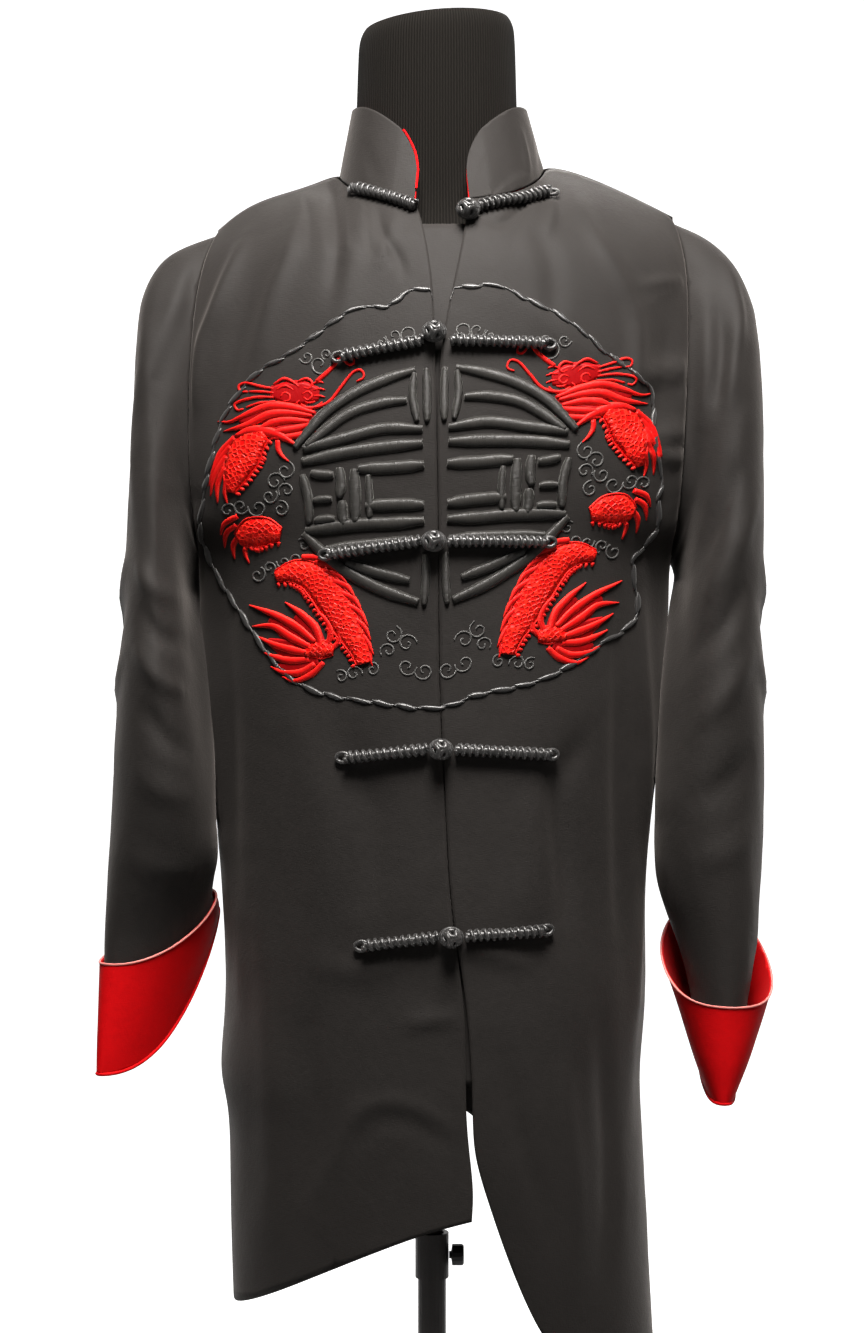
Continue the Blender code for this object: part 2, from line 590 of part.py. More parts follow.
def build_frogs(grids, look):
    trees = [outer_tree(grids["front_right"]), outer_tree(grids["front_left"])]
    clear = KNOT_RADIUS + 0.0008
    for number, frog in enumerate(FROGS, start=1):
        label = f"frog_{number}"
        loop_gap = 0.0 if frog.loop_x != frog.knot_x else clear
        frog_arm(label + "_loop", trees, (frog.loop_x - loop_gap, frog.loop_z),
                 (frog.right_x, frog.right_z), look)
        frog_arm(label + "_stem", trees, (frog.knot_x + clear, frog.knot_z),
                 (frog.left_x, frog.left_z), look)
        bpy.ops.mesh.primitive_uv_sphere_add(segments=12, ring_count=8, radius=KNOT_RADIUS)
        knot = bpy.context.object
        knot.name = label + "_knot"
        knot.data.name = knot.name
        knot.location = on_front(trees, frog.knot_x, frog.knot_z, KNOT_RADIUS + 0.0012)
        knot.data.materials.append(look)
        knot.data.shade_smooth()


# ------------------------------------------------------------------ dress form and stand
def build_form(jersey):
    shape = bmesh.new()
    loops = []
    for row in FORM_ROWS:
        loop = []
        for k in range(FORM_COLUMNS):
            angle = math.tau * k / FORM_COLUMNS
            depth = row.back if math.sin(angle) > 0 else -row.front
            across = row.half_width * math.cos(angle)
            slant = FORM_SLANT * across if row.z > FORM_SLANT_FROM else 0.0
            loop.append(shape.verts.new((FORM_X + across, depth * math.sin(angle),
                                         row.z + slant)))
        loops.append(loop)
    for low, high in zip(loops, loops[1:]):
        for k in range(FORM_COLUMNS):
            j = (k + 1) % FORM_COLUMNS
            shape.faces.new((low[k], low[j], high[j], high[k]))
    shape.faces.new(reversed(loops[0]))
    shape.faces.new(loops[-1])
    bmesh.ops.recalc_face_normals(shape, faces=shape.faces)
    mesh = bpy.data.meshes.new("dress_form")
    shape.to_mesh(mesh)
    shape.free()
    add_object("dress_form", mesh, jersey, smooth_angle=60)


def build_stand(metal, plastic):
    foot_top = BASE_THICKNESS + FOOT_HEIGHT
    turned("base", [(0, 0), (BASE_RADIUS, 0), (BASE_RADIUS, BASE_THICKNESS - BASE_BEVEL),
                    (BASE_RADIUS - BASE_BEVEL, BASE_THICKNESS), (FOOT_RADIUS, BASE_THICKNESS),
                    (FOOT_RADIUS * 0.7, foot_top), (0, foot_top)], metal, sides=48)
    turned("outer_tube", [(TUBE_BORE, foot_top + SEAM_GAP), (TUBE_RADIUS, foot_top + SEAM_GAP),
                          (TUBE_RADIUS, TUBE_TOP), (TUBE_BORE, TUBE_TOP)], metal)
    ring_bore = TUBE_RADIUS + SEAM_GAP
    lip_bore = POLE_RADIUS + 0.0005
    lip = TUBE_TOP + SEAM_GAP
    turned("clamp_ring", [(ring_bore, CLAMP_BOTTOM), (CLAMP_RADIUS, CLAMP_BOTTOM),
                          (CLAMP_RADIUS, CLAMP_TOP), (lip_bore, CLAMP_TOP), (lip_bore, lip),
                          (ring_bore, lip)], metal)
    form_bottom = FORM_ROWS[0].z
    turned("pole", [(0, POLE_BOTTOM), (POLE_RADIUS, POLE_BOTTOM),
                    (POLE_RADIUS, form_bottom - SOCKET_HEIGHT - 2 * SEAM_GAP),
                    (0, form_bottom - SOCKET_HEIGHT - 2 * SEAM_GAP)], metal)
    turned("pole_socket", [(0, form_bottom - SOCKET_HEIGHT - SEAM_GAP),
                           (SOCKET_RADIUS * 0.6, form_bottom - SOCKET_HEIGHT - SEAM_GAP),
                           (SOCKET_RADIUS, form_bottom - SEAM_GAP),
                           (0, form_bottom - SEAM_GAP)], plastic)
    start = CLAMP_RADIUS + SEAM_GAP
    knob_start = start + 0.0015
    turned("clamp_knob", [(0, 0), (SCREW_RADIUS, 0), (SCREW_RADIUS, knob_start - start),
                          (KNOB_RADIUS, knob_start - start + 0.0008),
                          (KNOB_RADIUS, knob_start - start + KNOB_LENGTH - 0.0012),
                          (KNOB_RADIUS - 0.0012, knob_start - start + KNOB_LENGTH),
                          (0, knob_start - start + KNOB_LENGTH)], plastic, sides=16, axis="X",
           centre=(start, 0.0, SCREW_HEIGHT))


for old in list(bpy.data.objects):
    bpy.data.objects.remove(old, do_unlink=True)
black_cloth = material("black_cloth", (0.018, 0.016, 0.016), 0.75)
red_cloth = material("red_cloth", (0.50, 0.012, 0.018), 0.7)
satin_cord = material("satin_cord", (0.012, 0.012, 0.014), 0.35)
black_jersey = material("black_jersey", (0.014, 0.014, 0.015), 0.85)
stand_metal = material("stand_metal", (0.03, 0.03, 0.032), 0.4, 0.6)
black_plastic = material("black_plastic", (0.02, 0.02, 0.02), 0.5)
panel_grids, panel_normals = build_panels(black_cloth)
build_cuffs(panel_grids, panel_normals, red_cloth)
build_collar(panel_grids, black_cloth, red_cloth)
build_underlap(panel_grids, black_cloth)
build_frogs(panel_grids, satin_cord)
build_form(black_jersey)
build_stand(stand_metal, black_plastic)
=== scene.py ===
"""The looks of a black tang jacket on its dress form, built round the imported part."""
import math
from collections import namedtuple

import bmesh
import bpy
import numpy as np
from mathutils import Matrix, Vector, kdtree, noise
from mathutils.bvhtree import BVHTree


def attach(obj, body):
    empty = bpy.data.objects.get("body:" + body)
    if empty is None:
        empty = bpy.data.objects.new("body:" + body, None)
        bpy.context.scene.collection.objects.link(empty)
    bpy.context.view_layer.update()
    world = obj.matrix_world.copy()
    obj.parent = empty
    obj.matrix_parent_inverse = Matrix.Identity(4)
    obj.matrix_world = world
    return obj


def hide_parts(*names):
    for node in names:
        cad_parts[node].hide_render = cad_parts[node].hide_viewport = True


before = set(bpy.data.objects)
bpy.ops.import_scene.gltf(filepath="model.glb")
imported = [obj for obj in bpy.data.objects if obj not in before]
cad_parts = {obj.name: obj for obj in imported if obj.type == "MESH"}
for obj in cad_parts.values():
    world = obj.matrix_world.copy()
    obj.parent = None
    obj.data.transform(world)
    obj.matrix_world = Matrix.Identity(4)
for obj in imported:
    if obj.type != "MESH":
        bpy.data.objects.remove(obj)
bpy.ops.object.select_all(action="DESELECT")
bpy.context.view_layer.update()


# ---------------------------------------------------------------- the jacket's cloth panels
# Two fronts, a back and two set-in sleeves, cut from black peach-skin twill and sewn together.
# Each is a thin shell on its solid's form, with its main creases laid one by one, then given its
# wall. The fold tables are in millimetres, in the plane of the side that they are seen from.
class Value:
    """A value in a finish. Sums and products of values add their Math nodes."""

    def __init__(self, finish, socket):
        self.finish, self.socket = finish, socket

    def __add__(self, other):
        return self.finish.maths("ADD", self, other)

    def __radd__(self, other):
        return self.finish.maths("ADD", other, self)

    def __sub__(self, other):
        return self.finish.maths("SUBTRACT", self, other)

    def __rsub__(self, other):
        return self.finish.maths("SUBTRACT", other, self)

    def __mul__(self, other):
        return self.finish.maths("MULTIPLY", self, other)


class Finish:
    """A material. Its constants are set on the shader's own sockets."""

    def __init__(self, name, constants):
        self.material = bpy.data.materials.new(name)
        self.material.use_nodes = True
        self.tree = self.material.node_tree
        self.shader = self.tree.nodes["Principled BSDF"]
        for socket, value in constants.items():
            self.shader.inputs[socket].default_value = value

    def node(self, kind, settings=None, sockets=None, output=0):
        made = self.tree.nodes.new(kind)
        for key, value in (settings or {}).items():
            setattr(made, key, value)
        for key, value in (sockets or {}).items():
            if isinstance(value, Value):
                self.tree.links.new(value.socket, made.inputs[key])
            else:
                made.inputs[key].default_value = value
        return Value(self, made.outputs[output])

    def maths(self, operation, *values):
        return self.node("ShaderNodeMath", {"operation": operation}, dict(enumerate(values)))

    def mix(self, amount, first, second):
        return self.node("ShaderNodeMix", {"data_type": "RGBA"},
                         {0: amount, 6: first, 7: second}, 2)

    def place(self, scale=(1, 1, 1), turn=0.0, uv=None):
        """Object coordinates, or the named map's, scaled and turned about Z."""
        if uv:
            start = self.node("ShaderNodeUVMap", {"uv_map": uv})
        else:
            start = self.node("ShaderNodeTexCoord", output=3)
        return self.node("ShaderNodeMapping", None,
                         {"Vector": start, "Rotation": (0, 0, turn), "Scale": scale})

    def noise(self, place, scale, detail=2.0, roughness=0.5):
        return self.node("ShaderNodeTexNoise", None,
                         {"Vector": place, "Scale": scale, "Detail": detail,
                          "Roughness": roughness})

    def feed(self, socket, value):
        self.tree.links.new(value.socket, self.shader.inputs[socket])

    def surface(self, shade, dark, light, grain, rough, rise, strength):
        """A colour between two, and a roughness and a bump that follow one grain."""
        self.feed("Base Color", self.mix(shade, dark, light))
        self.feed("Roughness", rough[0] + grain * rough[1])
        self.bump(grain, rise, strength)

    def bump(self, height, distance, strength=1.0, under=None):
        sockets = {"Height": height, "Distance": distance, "Strength": strength}
        if under is not None:
            sockets["Normal"] = under
        made = self.node("ShaderNodeBump", None, sockets)
        self.feed("Normal", made)
        return made


TWILL_SLANT = math.radians(38)
NAP_RISE, WEAVE_RISE = 0.0005, 0.00048


def woven(name, dark, light, constants):
    """A fine twill: slanting threads, a peach-skin nap and painted light and shade in broad
    patches.
    """
    made = Finish(name, constants)
    # The broad patches are painted light and shade: the cloth's colour is lighter and darker over
    # wide areas.
    painted_shade_patches = made.noise(made.place((1, 1, 0.55)), 9.0, 3.0)
    nap = made.noise(made.place(), 190.0, 3.0, 0.7)
    threads = made.noise(made.place((260, 1900, 1), TWILL_SLANT, "weave"), 1.0, 1.0)
    cross = made.noise(made.place((1700, 300, 1), TWILL_SLANT, "weave"), 1.0, 1.0)
    cloth = threads * 0.6 + cross * 0.4
    shade = painted_shade_patches * 0.45 + nap * 0.35 + cloth * 0.35 - 0.08
    made.feed("Base Color", made.mix(shade, dark, light))
    made.feed("Roughness", 0.58 + nap * 0.22)
    soft = made.bump(nap, NAP_RISE, 0.35)
    made.bump(cloth, WEAVE_RISE, 0.5, under=soft)
    return made.material


BLACK_SHEEN = {"Sheen Weight": 0.12, "Sheen Roughness": 0.42, "Sheen Tint": (0.66, 0.60, 0.56, 1),
               "Specular IOR Level": 0.16}
black_cloth = woven("black_cloth", (0.0062, 0.0054, 0.0049, 1), (0.0275, 0.0245, 0.0228, 1),
                    BLACK_SHEEN)
EYE = Vector((0.0, -1.87, 1.03))      # where the front's folds and needlework are seen from
FRONT_PLANE = -0.125                  # the plane that they are measured in
FOLD_DEPTH = 1.35                     # how strongly the folds of the tables are laid
FAR_SIDE = {"front": 1.75, "back": 0.9, "left": 0.8, "right": 0.8}   # to the cloth's middle
Fold = namedtuple("Fold", "view rise width line")


def folds(view, *rows):
    """Folds seen from one side. A row is a rise, a width and the points of the fold's line."""
    return [Fold(view, rise, width, line) for rise, width, *line in rows]


def linked(name, data):
    """A new object in the scene."""
    made = bpy.data.objects.new(name, data)
    bpy.context.scene.collection.objects.link(made)
    return made


def unit(rows):
    return rows / (np.linalg.norm(rows, axis=1, keepdims=True) + 1e-12)


def stands_for(node):
    """Hides the solid that a piece replaces."""
    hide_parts(node)


def outer_face(node, wall, axis):
    """The outer face of a thin cloth solid, in quads. axis is a point (x, y) inside it."""
    shape = bmesh.new()
    shape.from_mesh(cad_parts[node].data)
    bmesh.ops.remove_doubles(shape, verts=shape.verts[:], dist=1e-5)
    rim = [face for face in shape.faces
           if min(abs(edge.calc_length() - wall) for edge in face.edges) < 3e-5]
    bmesh.ops.delete(shape, geom=rim, context="FACES")
    left = set(shape.faces)
    while left:
        island, edge_of_island = set(), [left.pop()]
        while edge_of_island:
            face = edge_of_island.pop()
            island.add(face)
            for edge in face.edges:
                for other in edge.link_faces:
                    if other in left:
                        left.discard(other)
                        edge_of_island.append(other)
        centre = Vector((axis[0], axis[1], 0))
        outward = sum(face.normal.dot(Vector((*(face.calc_center_median() - centre).xy, 0)))
                      * face.calc_area() for face in island)
        if outward < 0:
            bmesh.ops.delete(shape, geom=list(island), context="FACES")
            left = {face for face in left if face.is_valid}
    bmesh.ops.join_triangles(shape, faces=shape.faces[:], angle_face_threshold=1.4,
                             angle_shape_threshold=3.1)
    return shape


def shell(name, node, axis, levels=3, wall=0.0015):
    """The start of a cloth piece: its solid's outer face, made smooth."""
    shape = outer_face(node, wall, axis)
    mesh = bpy.data.meshes.new(name)
    shape.to_mesh(mesh)
    shape.free()
    made = linked(name, mesh)
    apply(made, "SUBSURF", levels=levels, render_levels=levels,
          boundary_smooth="PRESERVE_CORNERS")
    made.data.shade_smooth()
    return made


def apply(made, kind, **settings):
    """Adds a modifier to a piece and applies it."""
    modifier = made.modifiers.new(kind.lower(), kind)
    for key, value in settings.items():
        setattr(modifier, key, value)
    bpy.ops.object.select_all(action="DESELECT")
    bpy.context.view_layer.objects.active = made
    made.select_set(True)
    bpy.ops.object.modifier_apply(modifier=modifier.name)
    made.select_set(False)


def rows_of(vectors, what):
    found = np.empty(len(vectors) * 3)
    vectors.foreach_get(what, found)
    return found.reshape(-1, 3)


def seen_from(view, a, b):
    """The ray that looks at (a, b) in a view's plane: where it starts, and its direction."""
    if view == "front":
        return EYE, (Vector((a, FRONT_PLANE, b)) - EYE).normalized()
    if view == "back":
        return Vector((a, 1.0, b)), Vector((0, -1, 0))
    if view == "left":
        return Vector((1.0, a, b)), Vector((-1, 0, 0))
    return Vector((-1.0, a, b)), Vector((1, 0, 0))


def smooth_line(points, step):
    """A smooth curve through a few points, at an even step. Each has any number of columns."""
    corners = np.array(points, float)
    if len(corners) < 3:
        curve = np.array([corners[0] + (corners[-1] - corners[0]) * t
                          for t in np.linspace(0, 1, 12)])
    else:
        ends = np.concatenate([[2 * corners[0] - corners[1]], corners,
                               [2 * corners[-1] - corners[-2]]])
        curve = [corners[0]]
        for k in range(1, len(ends) - 2):
            p, q, r, s = ends[k - 1:k + 3]
            for t in np.linspace(0, 1, 13)[1:]:
                curve.append(0.5 * (2 * q + (r - p) * t + (2 * p - 5 * q + 4 * r - s) * t**2
                                    + (3 * q - p - 3 * r + s) * t**3))
        curve = np.array(curve)
    lengths = np.concatenate([[0], np.cumsum(np.linalg.norm(np.diff(curve[:, :2], axis=0),
                                                            axis=1))])
    count = max(4, int(round(lengths[-1] / step)) + 1)
    places = np.linspace(0, lengths[-1], count)
    return np.stack([np.interp(places, lengths, curve[:, k]) for k in range(corners.shape[1])],
                    axis=1)


def tree_of(made):
    mesh = made.data
    return BVHTree.FromPolygons([v.co for v in mesh.vertices],
                                [tuple(p.vertices) for p in mesh.polygons])


def laid(tree, view, line):
    """A line of the tables, smoothed and dropped onto the cloth."""
    places = []
    for a, b in smooth_line(line, 7.0) / 1000:
        start, ahead = seen_from(view, a, b)
        hit = tree.ray_cast(start, ahead)[0]
        if hit is None:
            hit = tree.find_nearest(start + ahead * FAR_SIDE[view])[0]
        places.append(hit)
    return np.array(places)


def sewn_fade(made, neighbours, reach=0.011):
    """0 along the edges that are sewn to a neighbour, and 1 further in than reach."""
    trees = [tree_of(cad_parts[name]) for name in neighbours]
    shape = bmesh.new()
    shape.from_mesh(made.data)
    sewn = [v.co.copy() for v in shape.verts if v.is_boundary
            and any(tree.find_nearest(v.co)[3] < 0.0022 for tree in trees)]
    shape.free()
    fade = np.ones(len(made.data.vertices))
    if not sewn:
        return fade
    near = kdtree.KDTree(len(sewn))
    for k, place in enumerate(sewn):
        near.insert(place, k)
    near.balance()
    for k, v in enumerate(made.data.vertices):
        t = min(1.0, near.find(v.co)[2] / reach)
        fade[k] = t * t * (3 - 2 * t)
    return fade


def crease(made, folds, neighbours=(), unevenness=0.0007):
    """Moves the cloth in and out along its normals: the listed folds, then a slight waviness."""
    places = rows_of(made.data.vertices, "co")
    outward = rows_of(made.data.vertex_normals, "vector")
    tree = tree_of(made)
    rise = np.zeros(len(places))
    for fold in folds:
        line = laid(tree, fold.view, fold.line)
        best = np.full(len(places), np.inf)
        along = np.zeros(len(places))
        for k in range(len(line) - 1):
            start, step = line[k], line[k + 1] - line[k]
            t = np.clip((places - start) @ step / max(step @ step, 1e-12), 0, 1)
            away = np.linalg.norm(places - start - t[:, None] * step, axis=1)
            closer = away < best
            best[closer] = away[closer]
            along[closer] = (k + t[closer]) / (len(line) - 1)
        taper = np.sin(np.pi * np.clip(along, 0.02, 0.98)) ** 0.65
        rise += FOLD_DEPTH * fold.rise / 1000 * taper * np.exp(-(best * 1000 / fold.width) ** 2)
    for k, place in enumerate(places):
        spot = Vector(place)
        rise[k] += unevenness * (noise.noise(spot * 17) + 0.45 * noise.noise(spot * 46))
    rise *= sewn_fade(made, neighbours)
    made.data.vertices.foreach_set("co", (places + outward * rise[:, None]).ravel())
    made.data.update()


def weave_map(made, axis, radius, seam_at):
    """Lays the weave round a piece: metres round it and up it. seam_at faces the map's cut."""
    mesh = made.data
    places = rows_of(mesh.vertices, "co")
    turn = np.arctan2(places[:, 0] - axis[0], -(places[:, 1] - axis[1])) - seam_at
    turn = np.mod(turn, math.tau)
    corners = np.empty(len(mesh.loops), int)
    mesh.loops.foreach_get("vertex_index", corners)
    around = turn[corners]
    for face in mesh.polygons:
        span = slice(face.loop_start, face.loop_start + face.loop_total)
        if around[span].max() - around[span].min() > math.pi:
            part = around[span]
            part[part < math.pi] += math.tau
    flat = np.stack([around * radius, places[corners, 2]], axis=1)
    layer = mesh.uv_layers.new(name="weave")
    layer.data.foreach_set("uv", flat.ravel())


def thicken(made, wall, material):
    """Gives a cloth piece its wall, inwards, and its finish."""
    apply(made, "SOLIDIFY", thickness=wall, offset=-1.0, use_rim=True)
    made.data.materials.clear()
    made.data.materials.append(material)
    made.data.shade_smooth()


BODY_AXIS = (0.004, 0.0)
PANEL_FOLDS = {
    "front_right": folds(
        "front",
        (4.2, 8, (-130, 1332), (-141, 1305), (-151, 1278), (-161, 1250), (-167, 1203)),
        (-2.6, 13, (-118, 1330), (-134, 1272), (-146, 1215), (-150, 1165)),
        (2.6, 9, (-88, 1372), (-96, 1330), (-112, 1285), (-124, 1240)),
        (-2.6, 6, (-70, 1376), (-68, 1345), (-67, 1318), (-70, 1290)),
        (1.6, 9, (-48, 1368), (-52, 1330), (-60, 1280), (-72, 1230)),
        (-1.6, 4, (-38, 1352), (-36, 1336), (-24, 1316), (-18, 1300)),
        (1.2, 5, (-24, 1350), (-30, 1330), (-40, 1306)),
        (1.6, 5, (-20, 779), (0, 783), (19, 785)),
        (1.1, 7, (20, 702), (0, 716), (-20, 725), (-38, 725), (-54, 716), (-67, 686), (-89, 650)),
        (-0.8, 8, (14, 692), (-6, 706), (-26, 712), (-44, 708), (-56, 690)),
        (-3.4, 15, (-146, 1104), (-143, 1007), (-140, 902), (-137, 797)),
        (1.9, 18, (-100, 1010), (-76, 930), (-78, 850), (-96, 780)),
        (-1.8, 14, (-60, 985), (-40, 920), (-43, 850)),
        (1.7, 15, (-122, 900), (-116, 800), (-112, 700), (-118, 620)),
        (-1.8, 13, (-88, 790), (-84, 720), (-92, 650)),
        (1.5, 9, (-14, 830), (-50, 818), (-86, 822)),
        (4.6, 20, (-160, 1150), (-157, 1094), (-155, 1059), (-153, 1024), (-150, 954),
         (-147, 915)))
    + folds(
        "right",
        (2.2, 14, (-58, 1070), (-40, 980), (-34, 880), (-40, 760))),
    "front_left": folds(
        "front",
        (3.4, 8, (193, 1296), (182, 1275), (177, 1216), (176, 1179), (168, 1134)),
        (-2.4, 13, (168, 1288), (158, 1215), (152, 1160)),
        (1.5, 5, (145, 1296), (163, 1298), (180, 1299)),
        (1.8, 8, (96, 1366), (112, 1335), (134, 1296), (150, 1250)),
        (-1.8, 5, (68, 1366), (64, 1352), (50, 1340), (36, 1342)),
        (1.3, 4, (82, 1362), (84, 1348), (80, 1332)),
        (-1.6, 9, (72, 1340), (84, 1310), (86, 1270)),
        (-3.6, 11, (110, 985), (100, 968), (89, 948), (92, 895), (96, 842)),
        (1.9, 12, (70, 946), (72, 890), (70, 848)),
        (2.3, 8, (146, 1090), (147, 960), (143, 797)),
        (-2.2, 10, (131, 1076), (130, 960), (131, 832)),
        (1.7, 6, (14, 833), (40, 831), (71, 821)),
        (-2.8, 12, (117, 797), (124, 672), (117, 588)),
        (2.3, 11, (89, 762), (100, 658), (97, 582)),
        (-1.6, 9, (46, 770), (62, 700), (80, 640)),
        (1.4, 10, (60, 1290), (90, 1262), (118, 1240)),
        (4.2, 20, (164, 1150), (161, 1094), (159, 1059), (157, 1024), (152, 954), (150, 915)))
    + folds(
        "left",
        (2.0, 14, (-56, 1060), (-44, 960), (-40, 840), (-46, 700))),
    "back": folds(
        "back",
        (3.2, 15, (-128, 1310), (-120, 1240), (-122, 1150), (-110, 1060)),
        (-2.8, 14, (-96, 1300), (-92, 1220), (-96, 1120), (-84, 1040)),
        (3.0, 14, (132, 1308), (128, 1230), (130, 1150), (116, 1050)),
        (-2.6, 14, (100, 1290), (98, 1210), (104, 1120), (90, 1040)),
        (1.6, 9, (-70, 1345), (-20, 1330), (30, 1332), (78, 1348)),
        (-1.5, 9, (-50, 1322), (0, 1310), (56, 1320)),
        (2.2, 12, (-60, 1030), (-20, 1010), (30, 1012), (66, 1034)),
        (-2.2, 11, (-84, 1004), (-30, 984), (20, 984), (80, 1006)),
        (2.6, 18, (-86, 930), (-78, 840), (-84, 740)),
        (-2.4, 16, (-48, 950), (-40, 850), (-46, 730)),
        (2.4, 17, (4, 930), (10, 850), (2, 730)),
        (-2.4, 16, (50, 950), (44, 850), (52, 740)),
        (2.6, 18, (92, 940), (86, 840), (94, 720)))
    + folds(
        "left",
        (-2.4, 13, (50, 1040), (44, 930), (50, 800), (46, 660)))
    + folds(
        "right",
        (-2.4, 13, (50, 1040), (42, 930), (50, 800), (44, 680))),
}
SEWN_TO = {"front_right": ("back", "sleeve_right", "collar"),
           "front_left": ("back", "sleeve_left", "collar"),
           "back": ("front_right", "front_left", "sleeve_right", "sleeve_left", "collar"),
           "sleeve_right": ("front_right", "back", "cuff_right"),
           "sleeve_left": ("front_left", "back", "cuff_left")}
Cut = namedtuple("Cut", "width length area")
front_trees = []
for node, creases in PANEL_FOLDS.items():
    panel = shell(node + "_cloth", node, BODY_AXIS)
    crease(panel, creases, SEWN_TO[node])
    weave_map(panel, BODY_AXIS, 0.15, 0.0 if node == "back" else math.pi)
    if node != "back":
        front_trees.append(tree_of(panel))
    thicken(panel, 0.0013, black_cloth)
    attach(panel, "form")
    stands_for(node)

SLEEVE_FOLDS = {
    "sleeve_right": folds(
        "front",
        (2.8, 8, (-169, 1314), (-186, 1265), (-197, 1230)),
        (-2.6, 9, (-183, 1286), (-195, 1216), (-200, 1160)),
        (1.8, 8, (-203, 1250), (-208, 1190), (-207, 1130)),
        (2.4, 7, (-207, 1104), (-196, 1086), (-176, 1078)),
        (-2.6, 8, (-206, 1072), (-190, 1052), (-170, 1046)),
        (2.6, 7, (-208, 1046), (-192, 1022), (-172, 1012)),
        (-2.2, 8, (-206, 1006), (-186, 980), (-166, 968)),
        (1.8, 8, (-211, 960), (-190, 944), (-168, 936)),
        (-2.0, 12, (-184, 1160), (-188, 1100), (-184, 1040)),
        (1.6, 8, (-218, 900), (-196, 890), (-166, 886)),
        (5.4, 20, (-170, 1150), (-168, 1094), (-166, 1059), (-162, 1024), (-156, 954),
         (-153, 915)))
    + folds(
        "right",
        (2.6, 9, (-60, 1110), (-30, 1080), (0, 1085), (22, 1100)),
        (-2.6, 9, (-62, 1076), (-30, 1046), (4, 1050), (26, 1068)),
        (2.4, 9, (-66, 1040), (-36, 1014), (0, 1016), (22, 1036)),
        (-2.0, 12, (-20, 1300), (-26, 1220), (-22, 1150)),
        (1.8, 12, (10, 980), (4, 930), (10, 890)))
    + folds(
        "back",
        (2.6, 9, (-228, 1050), (-205, 1072), (-178, 1090)),
        (-2.6, 9, (-230, 1010), (-206, 1034), (-176, 1052)),
        (2.2, 9, (-230, 970), (-206, 994), (-176, 1008)),
        (2.0, 12, (-200, 1290), (-206, 1220), (-202, 1140))),
    "sleeve_left": folds(
        "front",
        (3.2, 6, (206, 1312), (212, 1289), (214, 1272), (210, 1237), (207, 1204)),
        (-2.8, 6, (199, 1293), (202, 1251), (198, 1209)),
        (2.2, 6, (193, 1279), (192, 1230), (187, 1188)),
        (-3.2, 9, (218, 1176), (205, 1146), (187, 1104)),
        (2.6, 9, (228, 1150), (212, 1112), (190, 1072)),
        (-3.0, 9, (222, 1090), (206, 1062), (182, 1036)),
        (2.4, 9, (226, 1044), (208, 1014), (184, 986)),
        (-2.2, 9, (226, 972), (208, 950), (186, 936)),
        (1.8, 8, (228, 914), (206, 900), (186, 894)),
        (4.8, 20, (178, 1150), (174, 1094), (170, 1059), (167, 1024), (161, 954), (160, 915)))
    + folds(
        "left",
        (2.6, 9, (-60, 1110), (-30, 1082), (4, 1086), (24, 1104)),
        (-2.6, 9, (-64, 1074), (-30, 1046), (0, 1048), (24, 1066)),
        (2.4, 9, (-68, 1036), (-34, 1010), (2, 1014), (24, 1030)),
        (-2.2, 12, (-16, 1296), (-22, 1224), (-16, 1150)),
        (1.8, 12, (6, 970), (0, 930), (8, 890)))
    + folds(
        "back",
        (2.6, 9, (236, 1056), (212, 1078), (186, 1094)),
        (-2.6, 9, (238, 1014), (212, 1038), (184, 1054)),
        (2.2, 9, (236, 974), (210, 996), (182, 1010)),
        (2.0, 12, (214, 1290), (220, 1216), (214, 1140))),
}
SLEEVE_AXIS = {"sleeve_right": (-0.197, -0.022), "sleeve_left": (0.207, -0.024)}
for node, creases in SLEEVE_FOLDS.items():
    axis = SLEEVE_AXIS[node]
    sleeve = shell(node + "_cloth", node, axis)
    crease(sleeve, creases, SEWN_TO[node])
    weave_map(sleeve, axis, 0.05, math.copysign(math.pi / 2, -axis[0]))
    thicken(sleeve, 0.0013, black_cloth)
    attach(sleeve, "form")
    stands_for(node)


# ---------------------------------------------------------------- turned-back cuffs
# Each sleeve ends in a band of deep red cloth, turned back on the outside. It is cut with the
# sleeve's lining, folded up along the sleeve's end and edged with a pale red corded piping.
RED_SHEEN = {"Sheen Weight": 0.04, "Sheen Roughness": 0.4, "Sheen Tint": (1.0, 0.2, 0.18, 1),
             "Specular IOR Level": 0.08}
red_cloth = woven("red_cloth", (0.34, 0.0006, 0.002, 1), (0.74, 0.002, 0.004, 1), RED_SHEEN)
piping_red = woven("piping_red", (0.60, 0.10, 0.09, 1), (0.80, 0.30, 0.26, 1),
                   {"Sheen Weight": 0.2, "Specular IOR Level": 0.4})


def edge_loops(made):
    """The open edges of a shell, each as a closed run of points, from the highest down."""
    shape = bmesh.new()
    shape.from_mesh(made.data)
    rim = [edge for edge in shape.edges if edge.is_boundary]
    left = set(rim)
    runs = []
    for edge in rim:
        if edge not in left:
            continue
        left.discard(edge)
        start, here = edge.verts
        run = [start.co.copy(), here.co.copy()]
        while here != start:
            step = next((e for e in here.link_edges if e in left), None)
            if step is None:
                break
            left.discard(step)
            here = step.other_vert(here)
            run.append(here.co.copy())
        runs.append(np.array(run[:-1] if here == start else run))
    shape.free()
    return sorted(runs, key=lambda run: -run[:, 2].mean())


